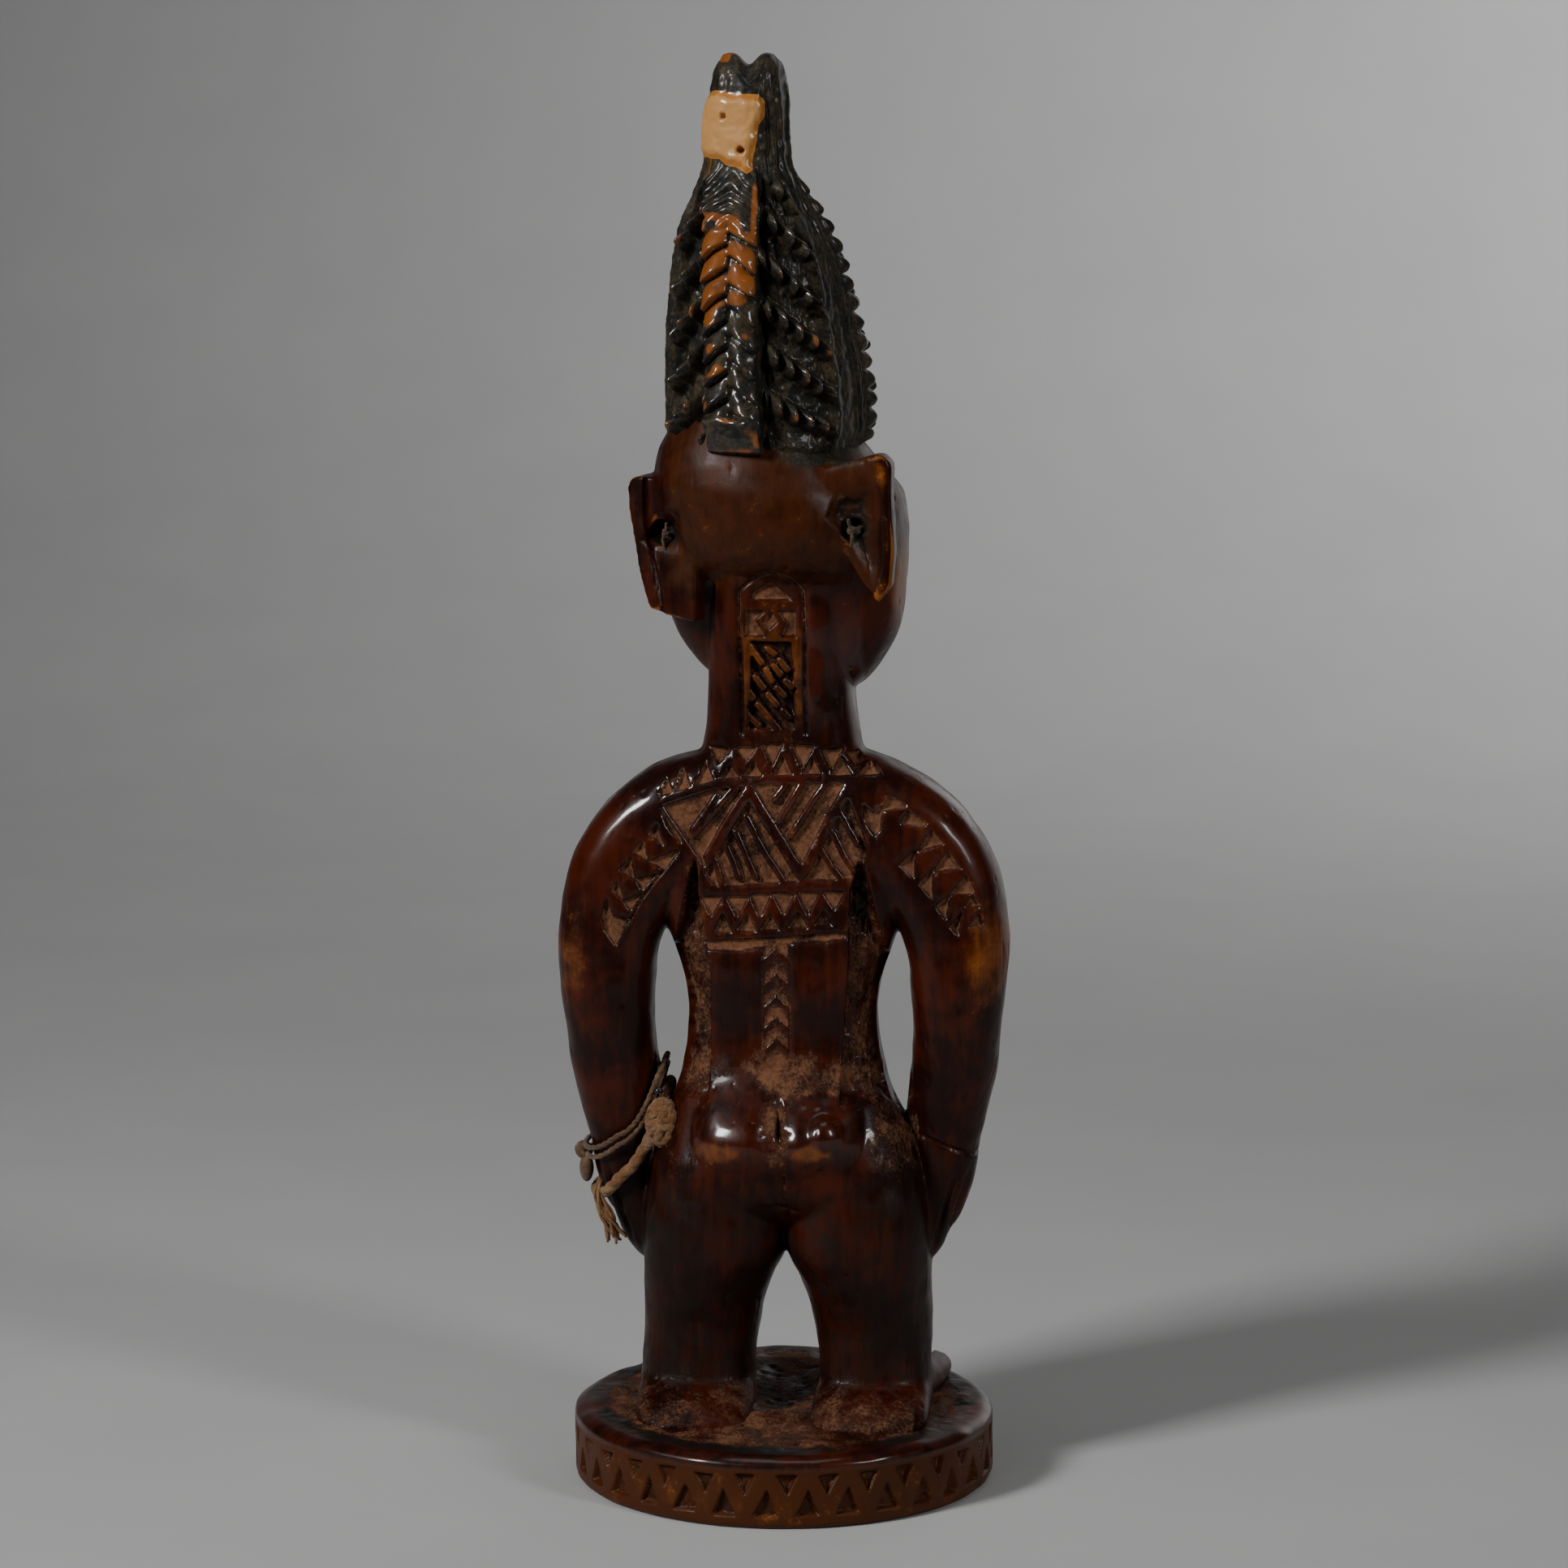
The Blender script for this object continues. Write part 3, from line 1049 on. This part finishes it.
def shaped_hair():
    """The hair as one closed skin: columns round the crown and rows up it, then over its top."""
    columns, rows = HAIR_GRID
    over = max(8, rows // 14)
    t = np.concatenate([np.linspace(0, 1, rows), np.ones(over)])[:, None]
    close = np.concatenate([np.ones(rows), np.cos(np.linspace(0, np.pi / 2, over + 1)[1:] * 0.99)])[:, None]
    dome = np.concatenate([np.zeros(rows), np.sin(np.linspace(0, np.pi / 2, over + 1)[1:])])[:, None]
    angle = np.linspace(-180, 180, columns, endpoint=False)[None] + 0 * t
    row = along(CROWN, t[:, 0])[:, None]
    turn = np.radians(angle)
    power = 2 / row[..., 6]
    radius = 0.5 * (row[..., 3] + row[..., 4])
    lift, finish = hair_relief(angle, row[..., 2] + 0 * angle, radius + 0 * angle)
    wide = bulged(np.sin(turn), power) * (row[..., 3] + lift)
    depth = np.where(np.cos(turn) > 0, row[..., 4], row[..., 5]) + lift
    deep = bulged(np.cos(turn), power) * depth
    x = row[..., 0] + wide * close
    y = row[..., 1] + deep * close
    z = row[..., 2] + 0.9 * dome + 0 * angle
    away = (x - 2.9) * math.cos(math.radians(20)) + (y - 12.6) * math.sin(math.radians(20))
    z = z - 2.6 * np.exp(-((away / 1.9) ** 2)) * step(276, 283, z)
    points = turned(np.stack([x, y, z], -1).reshape(-1, 3), HEAD_TURN)
    hollow = hollowness(points, grid_faces(rows + over, columns)[:, ::-1], HAIR_CREASE)
    finish = {key: value.reshape(-1) for key, value in finish.items()}
    finish["wear"] = np.maximum(finish["wear"], step(0.12, 0.4, -hollow) * 0.4)
    finish["indigo"] = 0.68 + 0.32 * step(-0.1, 0.3, hollow)
    finish["grime"] = step(0.15, 0.6, hollow) * 0.8
    return points, [face[::-1] for face in filled_faces(rows + over, columns)], finish


# Plinth: a turned disc with a frieze round its side.
FRIEZE_COUNT = 32
FRIEZE_FOOT, FRIEZE_TOP = 0.19, 0.74


def frieze_depth(turn, share):
    """Depth of the frieze at a turn in pitches and a share of the band's height: standing triangles sunk below
    and smaller hanging ones above, with a raised zigzag between them."""
    across = np.abs((turn + 0.5) % 1 - 0.5)
    upright = 0.29 * (0.66 - share) / 0.66
    hanging = 0.24 * (share - 0.52) / 0.48
    below = step(-0.02, 0.03, upright - across) * step(-0.03, 0.03, share)
    above = step(-0.02, 0.03, hanging - (0.5 - across)) * step(1.03, 0.97, share)
    return 1.3 * np.maximum(below, above)


def shaped_plinth():
    """The plinth as rings of points: profile height against the turn, with the frieze cut into its side."""
    side = np.linspace(0, 1, PLINTH_SIDE_RINGS)
    profile = [[0.02, 0.0], [0.5, 0.0], [0.93, 0.0], [0.975, 0.0]]
    for s in side:
        foot_in, shoulder_in = 0.02 * (1 - min(s / 0.08, 1)) ** 2, 0.055 * max(0, (s - 0.86) / 0.14) ** 2.4
        profile.append([1 - foot_in - shoulder_in, s])
    inner = np.linspace(0.925, 0.02, PLINTH_TOP_RINGS)
    profile += [[r, 1.0 + 0.06 * (1 - (r / 0.925) ** 2)] for r in inner]
    share = np.array(profile)
    turn = once_round(PLINTH_TURNS)[None]
    radius = PLINTH_RADIUS * share[:, :1] + 0 * turn
    height = PLINTH_HEIGHT * share[:, 1:] + 0 * turn
    x, y = radius * np.sin(turn), radius * np.cos(turn)
    spot = np.stack([x, y, height], -1)
    shaky = grain(spot, 5, 21)
    on_side = (share[:, :1] > 0.985) & (share[:, 1:] > 0.02)
    band = (share[:, 1:] - FRIEZE_FOOT) / (FRIEZE_TOP - FRIEZE_FOOT) + 0.05 * shaky
    pitches = turn / (2 * np.pi) * FRIEZE_COUNT + 0.06 * grain(spot, 7, 22)
    cut = np.where(on_side & (band > -0.1) & (band < 1.1), frieze_depth(pitches, band), 0)
    cut *= 1 + 0.2 * grain(spot, 0.9, 23)
    inset = cut - 0.22 * shaky * on_side
    x, y = x * (1 - inset / np.maximum(radius, 1)), y * (1 - inset / np.maximum(radius, 1))
    top = share[:, 1:] > 0.9
    hollow = np.exp(-((x - 0.6) / 6.5) ** 2) * step(20, 6, y) * step(-34, -20, y)
    ridge = np.exp(-(((y - 15) / 4.2) ** 2) - ((x / 10) ** 2))
    z = height + top * (1.8 * ridge - 1.8 * hollow + 0.22 * shaky)
    z = z + top * step(0.96, 0.8, share[:, :1]) * 0.3 * grain(spot, 1.6, 24)
    points = np.stack([x, y, z - PLINTH_HEIGHT], -1).reshape(-1, 3)
    in_cuts = np.clip(cut, 0, 1) * (0.42 + 0.3 * shaky)
    finish = {
        "crust": top * step(0.94, 0.8, share[:, :1] + 0.04 * shaky) * (0.66 + 0.3 * shaky),
        "grime": np.maximum(bump(0.88, 0.12, share[:, :1]) * top * (0.7 + 0.4 * shaky), in_cuts),
        "wear": step(0.9, 0.7, share[:, 1:]) * (0.36 + 0.1 * shaky) * on_side,
        "brown": step(0.92, 0.76, share[:, 1:]) * on_side + 0 * x,
        "polish": 0.7 * bump(0.98, 0.05, share[:, :1]) * (share[:, 1:] > 0.8) + 0 * x,
    }
    finish = {key: value.reshape(-1) for key, value in finish.items()}
    return points, [face[::-1] for face in filled_faces(len(share), PLINTH_TURNS)], finish


# Cords: each is a section carried along a smooth path. Radii and places are in parts.
THICK_RADIUS, THIN_RADIUS, THREAD_RADIUS = 1.2, 0.55, 0.38
# Heights of the loops round the wrist, in the gap beside the body and outside.
THICK_LOOP = (68.2, 45)
THIN_LOOPS = ((74.2, 54.8), (72.4, 52.8))
KNOT = np.array([24.8, 9.4, 62])
KNOT_HALVES = np.array([3.7, 3.2, 5.4])
KNOT_TURNS = 11
TUFT_STRANDS = 26
KNOT_FIBRES = 60
THIN_KNOT, TORN_TAG = [42.8, -1.4, 53.4], [42.2, -0.6, 49.6]
# The bead: its middle, the radius to the middle of its ring, and half the ring's thickness and height.
BEAD = KNOT + [0.9, -0.8, 6.6]
BEAD_RADIUS, BEAD_HALF, BEAD_HALF_HEIGHT = 0.72, 0.28, 0.5


def cord_form(points, radius, closed=False, strands=3, twists=0.35, sides=18, depth=0.28):
    """A twisted cord: a round section whose edge is raised over each strand, turning as it goes along."""
    path = np.asarray(points, float)
    if closed:
        ahead, behind = np.roll(path, -1, 0), np.roll(path, 1, 0)
    else:
        ahead, behind = np.vstack([path[1:], path[-1:]]), np.vstack([path[:1], path[:-1]])
    way = unit(ahead - behind)
    length = np.concatenate([[0], np.cumsum(np.linalg.norm(np.diff(path, axis=0), axis=1))])
    level = unit(np.cross(way, [0.13, 0.21, 0.97]))
    upright = np.cross(level, way)
    turn = once_round(sides)[None]
    lay = strands * turn + 2 * np.pi * twists * length[:, None]
    reach = radius * (1 - depth + depth * np.abs(np.cos(lay / 2)) ** 0.7 * 1.3)
    ring = level[:, None] * (np.cos(turn) * reach)[..., None] + upright[:, None] * (np.sin(turn) * reach)[..., None]
    return path[:, None] + ring


WRIST = HAND[1:4] + ARM[1:3]


def wrist_at(z):
    """The row of the left forearm and hand at each height."""
    rows = np.asarray(WRIST, float)
    return np.stack([np.interp(z, rows[:, 2], rows[:, k]) for k in range(7)], -1)


def wrist_loop(inner, outer, lift, fall, count=200):
    """A way round the wrist that hangs from a height in the gap beside the body to a lower one outside."""
    turn = once_round(count)
    z = outer + (inner - outer) * ((1 - np.cos(turn)) / 2) ** fall
    x, y, _, width, back, front, square = wrist_at(z).T
    deep = np.where(np.sin(turn) > 0, back, front)
    wide_way, deep_way = (bulged(wave(turn), 2 / square) for wave in (np.cos, np.sin))
    return np.stack([x + (width + lift) * wide_way, y + (deep + lift) * deep_way, z], 1)


def strand_form(points, radius, count=60, **kinds):
    """A length of cord with two ends, on a smooth curve through a few points."""
    return tube_form(cord_form(along(points, np.linspace(0, 1, count)), radius, **kinds)[:, ::-1])


def fibres(places, ways, length, radius, seed):
    """Loose fibres: thin bent hairs that leave places on a cord in given directions."""
    luck = np.random.default_rng(seed)
    forms = []
    for place, way in zip(places, ways):
        bend = luck.normal(0, 0.4, 3)
        reach = length * luck.uniform(0.5, 1.2)
        line = [place, place + way * reach * 0.5 + bend * 0.2 * reach, place + way * reach + bend * reach * 0.6]
        forms.append(strand_form(line, radius, count=5, strands=1, sides=3, depth=0.0))
    return forms


def knot_form(centre, halves, turns, radius, seed):
    """A knot: cord wound over an egg shape in several crossing turns."""
    luck = np.random.default_rng(seed)
    forms = []
    for _ in range(turns):
        tilt = unit(luck.normal(0, 1, 3))
        side = unit(np.cross(tilt, [0.3, 0.5, 0.8]))
        up = np.cross(tilt, side)
        a = once_round(40)[:, None]
        ring = (side * np.cos(a) + up * np.sin(a) + tilt * luck.uniform(-0.35, 0.35)) * halves
        forms.append(closed_tube(cord_form(ring + centre, radius, closed=True)[:, ::-1]))
    return forms


def thick_cord_forms():
    """The loop, its knot and stuffing, the way into the knot, the frayed end, and fibres on the knot."""
    loop = wrist_loop(*THICK_LOOP, 1.85, 2.1)
    around = closed_tube(cord_form(loop, THICK_RADIUS, closed=True)[:, ::-1])
    knot = knot_form(KNOT, KNOT_HALVES - 1.0, KNOT_TURNS, 0.98, 3)
    knot.append(egg(KNOT, KNOT_HALVES * 0.66))
    leave = strand_form([[24.8, 9.6, 60], [26.6, 9.4, 58.2], [28.4, 7.4, 56.6]], THICK_RADIUS)
    end = [[38.8, 4.2, 48], [38.9, 5.4, 45], [37.2, 6.6, 41], [35, 6.8, 36.8]]
    luck = np.random.default_rng(5)
    tuft = []
    for _ in range(TUFT_STRANDS):
        spread = luck.normal(0, 0.55, (4, 3)) * np.array([[0.4], [0.8], [1.3], [1.7]])
        tuft.append(strand_form(np.array(end) + spread, 0.3, count=24, strands=2, sides=6))
    places = KNOT + luck.normal(0, 1, (KNOT_FIBRES, 3)) * KNOT_HALVES * 0.6
    ways = unit((places - KNOT) / KNOT_HALVES)
    places = KNOT + ways * KNOT_HALVES * 0.9
    return [around, *knot, leave, *tuft, *fibres(places, ways, 1.6, 0.07, 8)]


def thin_cord_forms():
    """Both loops, their knot and the torn tag."""
    forms = []
    for inner, outer in THIN_LOOPS:
        loop = wrist_loop(inner, outer, 1.45, 2.3, 320)
        rings = cord_form(loop, THIN_RADIUS, True, strands=2, twists=0.6, sides=10)
        forms.append(closed_tube(rings[:, ::-1]))
    forms += knot_form(THIN_KNOT, [1.5, 1.9, 1.4], 5, 0.5, 6)
    forms.append(egg(TORN_TAG, [1.5, 2.0, 3.0], 20, 24))
    return forms


def ear_thread_forms(side):
    """The thread through an ear, its loose end and its knot."""
    x, y, z = (EAR_LEFT if side > 0 else EAR_RIGHT)["hole"]
    turn = math.radians(EAR_HOLE_TURN)
    at = lambda back, drop=0, out=0: [side * (x + out - back * math.sin(turn)), y + back * math.cos(turn), z - drop]
    line = turned([at(-6), at(0), at(2.4, 0.2, 0.2), at(3.0, 1.6, 0.7), at(2.6, 3.6, 0.2)], HEAD_TURN)
    thread = strand_form(line, THREAD_RADIUS, count=50, strands=2, twists=0.8, sides=10)
    end = turned([at(2.2, 0.2), at(3.0, -1.2), at(3.2, -2.0)], HEAD_TURN)
    loose = strand_form(end, 0.34, count=24, strands=2, sides=8)
    knot = knot_form(turned([at(2.4, 0.3)], HEAD_TURN)[0], [0.5, 0.5, 0.6], 4, 0.36, 9)
    return [thread, loose, *knot]


def bead_forms():
    """The bead: a ring section turned about its own upright axis."""
    turn, lap = once_round(48)[:, None], once_round(24)[None]
    out = BEAD_RADIUS + BEAD_HALF * np.cos(lap)
    ring = np.stack([out * np.cos(turn), out * np.sin(turn), BEAD_HALF_HEIGHT * np.sin(lap) + 0 * turn], -1)
    return [closed_tube(ring + BEAD)]


# Finishes. A wire is one value in a material; arithmetic on wires adds the nodes for it.
class Wire:
    def __init__(self, finish, socket):
        self.finish, self.socket = finish, socket

    def maths(self, operation, first, second):
        return self.finish.add("ShaderNodeMath", {"operation": operation}, {0: first, 1: second})

    def __add__(self, other):
        return self.maths("ADD", self, other)

    def __sub__(self, other):
        return self.maths("SUBTRACT", self, other)

    def __rsub__(self, other):
        return self.maths("SUBTRACT", other, self)

    def __mul__(self, other):
        return self.maths("MULTIPLY", self, other)

    __radd__ = __add__
    __rmul__ = __mul__


class Finish:
    """A material built node by node."""

    def __init__(self, name):
        self.material = bpy.data.materials.new(name)
        self.material.use_nodes = True
        self.tree = self.material.node_tree
        self.tree.nodes.clear()
        self.place = self.add("ShaderNodeTexCoord", output="Object")

    def add(self, kind, settings=None, inputs=None, output=0):
        """One node: its settings, the values or links of its sockets, and which output is wanted."""
        node = self.tree.nodes.new(kind)
        for key, value in (settings or {}).items():
            setattr(node, key, value)
        for key, value in (inputs or {}).items():
            socket = node.inputs[key]
            if isinstance(value, Wire):
                self.tree.links.new(value.socket, socket)
            elif socket.type == "RGBA":
                socket.default_value = (*value, 1)
            else:
                socket.default_value = value
        return Wire(self, node.outputs[output]) if len(node.outputs) else None

    def mapped(self, stretch, turn=(0, 0, 0)):
        return self.add("ShaderNodeMapping", None, {"Vector": self.place, "Scale": stretch, "Rotation": turn})

    def noise(self, size, detail=3.0, rough=0.5, place=None):
        """Noise from 0 to 1 whose patches are about a size across, in millimetres."""
        inputs = {"Vector": place or self.place, "Scale": 1000 / size, "Detail": detail, "Roughness": rough}
        return self.add("ShaderNodeTexNoise", None, inputs)

    def stored(self, name):
        return self.add("ShaderNodeAttribute", {"attribute_name": name}, output="Fac")

    def between(self, value, low, high):
        """A smooth rise from 0 to 1 as a value goes from low to high."""
        inputs = {"Value": value, "From Min": low, "From Max": high}
        return self.add("ShaderNodeMapRange", {"interpolation_type": "SMOOTHSTEP"}, inputs)

    def mix(self, share, first, second):
        inputs = {"Factor": share, 6: first, 7: second}
        return self.add("ShaderNodeMix", {"data_type": "RGBA"}, inputs, output=2)

    def finish(self, height, strength, distance, **inputs):
        """The surface itself, roughened by a height in millimetres."""
        relief = {"Height": height, "Strength": strength, "Distance": distance * MM}
        normal = self.add("ShaderNodeBump", None, relief)
        keys = {key.replace("_", " "): value for key, value in inputs.items()}
        surface = self.add("ShaderNodeBsdfPrincipled", None, {**keys, "Normal": normal})
        self.add("ShaderNodeOutputMaterial", None, {"Surface": surface})
        return self.material


# Colours of the wood and what has gathered on it.
DARK_WOOD = (0.0125, 0.0024, 0.0010)
RED_WOOD = (0.052, 0.0074, 0.0013)
WORN_WOOD = (0.225, 0.066, 0.010)
BROWN_WOOD = (0.058, 0.0150, 0.0026)
BARE_WOOD = (0.53, 0.265, 0.090)
BARE_EDGE = (0.40, 0.15, 0.022)
CAMWOOD = (0.195, 0.082, 0.040)
CAMWOOD_DARK = (0.034, 0.0115, 0.0048)
INDIGO = (0.0105, 0.0110, 0.0100)
INDIGO_WORN = (0.062, 0.042, 0.019)
GRIME = (0.0085, 0.0060, 0.0038)
# Cottons and paper: dark, light and worn, or dark and light.
THIN_COTTON = (0.035, 0.014, 0.005), (0.16, 0.078, 0.028), (0.20, 0.11, 0.045)
THICK_COTTON = (0.085, 0.026, 0.005), (0.27, 0.115, 0.028), (0.25, 0.14, 0.055)
EAR_COTTON = (0.02, 0.008, 0.003), (0.085, 0.034, 0.011), (0.11, 0.055, 0.02)
BLACK_GLASS = (0.004, 0.004, 0.005), (0.016, 0.014, 0.012)
PAPER = (0.45, 0.45, 0.45), (0.50, 0.50, 0.495)


def carved_wood():
    """Lacquered wood, dark red, worn to orange on its edges, with dry red earth in its cuts and blued hair."""
    wood = Finish("carved_wood")
    crust, wear, indigo = wood.stored("crust"), wood.stored("wear"), wood.stored("indigo")
    bare, grime, polish = wood.stored("bare"), wood.stored("grime"), wood.stored("polish")
    cloud = wood.noise(16, 4, 0.55)
    blotch = wood.noise(4.5, 5, 0.6)
    streak = wood.noise(1.6, 4, 0.6, wood.mapped((1, 1, 0.08)))
    speck = wood.noise(0.7, 4, 0.65)
    fleck = wood.noise(0.28, 3, 0.6)

    mellow = cloud * 0.5 + blotch * 0.22 + streak * 0.28
    colour = wood.mix(wood.between(mellow, 0.42, 0.6), DARK_WOOD, RED_WOOD)
    brown = wood.between(wood.stored("brown") + (blotch - 0.5) * 0.5 + (streak - 0.5) * 0.4, 0.15, 0.85)
    colour = wood.mix(brown, colour, BROWN_WOOD)
    scuff = wood.between(blotch * 0.5 + speck * 0.5, 0.56, 0.68) * 0.3
    rubbed = wood.between(wear + scuff + (blotch - 0.5) * 0.7 + (streak - 0.5) * 0.3, 0.35, 0.95)
    colour = wood.mix(rubbed, colour, WORN_WOOD)
    blued = wood.between(indigo + (blotch - 0.5) * 0.35, 0.35, 0.6)
    dye = wood.mix(wood.between(speck * 0.5 + blotch * 0.5, 0.42, 0.66), INDIGO, INDIGO_WORN)
    dye = wood.mix(wood.between(wear + (blotch - 0.5) * 0.7, 0.35, 0.75), dye, WORN_WOOD)
    colour = wood.mix(blued, colour, dye)
    pale = wood.between(bare + (blotch - 0.5) * 0.7 + (speck - 0.5) * 0.3, 0.6, 0.95)
    naked = wood.mix(pale, BARE_EDGE, BARE_WOOD)
    colour = wood.mix(wood.between(bare, 0.3, 0.45), colour, naked)
    earth = wood.mix(wood.between(speck * 0.4 + blotch * 0.6 + crust * 0.3, 0.52, 0.92), CAMWOOD_DARK, CAMWOOD)
    crusted = wood.between(crust + (speck - 0.5) * 1.1 + (blotch - 0.5) * 1.2, 0.36, 0.8)
    colour = wood.mix(crusted, colour, earth)
    grimy = wood.between(grime + (blotch - 0.5) * 0.8, 0.4, 0.8)
    colour = wood.mix(grimy, colour, GRIME)

    rough = wood.between(blotch, 0.2, 0.85) * 0.16 + 0.29 + crusted * 0.42 + grimy * 0.12 + blued * 0.1 + brown * 0.1
    coat = (1 - crusted) * (polish * 0.75 + 0.03)
    height = speck * (0.09 + crusted * 0.8) + streak * 0.15 + fleck * (0.04 + crusted * 0.3 + blued * 0.2)
    gloss = {"Coat_Weight": coat, "Coat_Roughness": 0.13, "Specular_IOR_Level": 0.16}
    return wood.finish(height, 0.9, 0.28, Base_Color=colour, Roughness=rough, **gloss)


def cotton(name, dark, light, worn):
    """Twisted cotton: fibres along the strands, lighter on the outside and soaked dark in the folds."""
    thread = Finish(name)
    fuzz = thread.noise(0.25, 4, 0.7)
    patch = thread.noise(3.0, 4, 0.6)
    colour = thread.mix(thread.between(fuzz, 0.35, 0.68), dark, light)
    colour = thread.mix(thread.between(patch, 0.48, 0.68), colour, worn)
    return thread.finish(fuzz, 1.0, 0.25, Base_Color=colour, Roughness=0.92 - fuzz * 0.1, Sheen_Weight=0.2)


def black_glass():
    glass = Finish("black_bead")
    cloud = glass.noise(0.5, 2)
    colour = glass.mix(cloud, *BLACK_GLASS)
    return glass.finish(cloud, 0.2, 0.05, Base_Color=colour, Roughness=0.12 + cloud * 0.12, Coat_Weight=0.4)


def piece(name, forms, material):
    """A small piece that stands for the CAD node of its name."""
    points, faces = joined(forms)
    obj = dressed(name + "_dressed", placed(points), faces, None)
    obj.data.materials.append(material)
    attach(obj, "root")
    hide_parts(name)
    return obj


wood = carved_wood()
body_points, body_quads, body_finish = shaped_body()
hair_points, hair_faces, hair_finish = shaped_hair()
plinth_points, plinth_faces, plinth_finish = shaped_plinth()
for name, points, faces, finish, most in (
    ("figure_body", body_points, body_quads.tolist(), body_finish, BODY_TRIANGLES),
    ("figure_hair", hair_points, hair_faces, hair_finish, None),
    ("figure_plinth", plinth_points, plinth_faces, plinth_finish, None),
):
    skin = dressed(name, placed(points), faces, finish, most)
    skin.data.materials.append(wood)
    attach(skin, "root")
    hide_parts("ibeji_figure")

thin_cotton = cotton("thin_cotton", *THIN_COTTON)
thick_cotton = cotton("thick_cotton", *THICK_COTTON)
ear_cotton = cotton("ear_cotton", *EAR_COTTON)
piece("thin_wrist_cord", thin_cord_forms(), thin_cotton)
piece("thick_wrist_cord", thick_cord_forms(), thick_cotton)
piece("wrist_bead", bead_forms(), black_glass())
piece("ear_thread_left", ear_thread_forms(1), ear_cotton)
piece("ear_thread_right", ear_thread_forms(-1), ear_cotton)


# Stage: a pale floor that curves up behind the figure, soft lights on both sides, and the camera.
def backdrop():
    """A floor carried back level and then up in one easy curve."""
    profile = [[0.4, 0], [0.1, 0], [-0.6, 0], [-1.0, 0.02], [-1.35, 0.14], [-1.55, 0.4], [-1.65, 0.9], [-1.7, 2.0]]
    rows, columns = 80, 24
    row = along(profile, np.linspace(0, 1, rows))
    across = np.linspace(-3, 3, columns)[None]
    points = np.stack([across + 0 * row[:, :1], row[:, :1] + 0 * across, row[:, 1:] + 0 * across], -1)
    i, j = np.meshgrid(np.arange(rows - 1), np.arange(columns - 1), indexing="ij")
    first = i * columns + j
    faces = np.stack([first, first + columns, first + columns + 1, first + 1], -1).reshape(-1, 4)
    return linked("backdrop", mesh_of("backdrop", points.reshape(-1, 3), faces.tolist()))


floor = backdrop()
floor.data.shade_smooth()
paper = Finish("backdrop_paper")
mottle = paper.noise(60, 4)
floor.data.materials.append(paper.finish(mottle, 0.02, 1, Base_Color=paper.mix(mottle, *PAPER), Roughness=0.9))


def soft_light(name, place, aim, size, watts, spread=180):
    """A rectangular light whose beam fades out at half its spread, in degrees, to each side."""
    data = bpy.data.lights.new(name, "AREA")
    data.shape, data.size, data.size_y = "RECTANGLE", size[0], size[1]
    data.energy, data.spread = watts, math.radians(spread)
    light = linked(name, data)
    light.location = place
    light.rotation_euler = (Vector(aim) - Vector(place)).to_track_quat("-Z", "Y").to_euler()
    return light


soft_light("key", (0.9, 0.85, 0.85), (0, 0, 0.16), (0.26, 0.38), 5.2, 100)
soft_light("side", (-1.02, 0.74, 0.7), (0, 0, 0.2), (0.2, 0.5), 1.15, 80)
soft_light("sky", (0, 0.1, 1.4), (0, 0, 0), (0.7, 0.6), 0.85, 120)
soft_light("wall", (-1.0, -0.7, 1.1), (-0.75, -1.65, 0.4), (0.6, 0.6), 13, 130)
world = bpy.data.worlds.new("studio")
world.use_nodes = True
dim = world.node_tree.nodes["Background"].inputs
dim["Color"].default_value = (0.5, 0.51, 0.53, 1)
dim["Strength"].default_value = 0.02
bpy.context.scene.world = world

# Camera, as it stood for the photograph: far off, a little above the head, a little to the figure's right.
CAMERA_AWAY = 1.0069
CAMERA_HEIGHT = 0.3044
CAMERA_TURN = 5
CAMERA_TILT = 8.84
SENSOR_WIDTH, LENS = 36, 111.8
camera_data = bpy.data.cameras.new("camera")
camera_data.sensor_width, camera_data.lens = SENSOR_WIDTH, LENS
camera = linked("camera", camera_data)
turn = math.radians(CAMERA_TURN)
camera.location = (-CAMERA_AWAY * math.sin(turn), CAMERA_AWAY * math.cos(turn), CAMERA_HEIGHT)
camera.rotation_euler = (math.radians(90 - CAMERA_TILT), 0, math.radians(180 + CAMERA_TURN))
bpy.context.scene.camera = camera
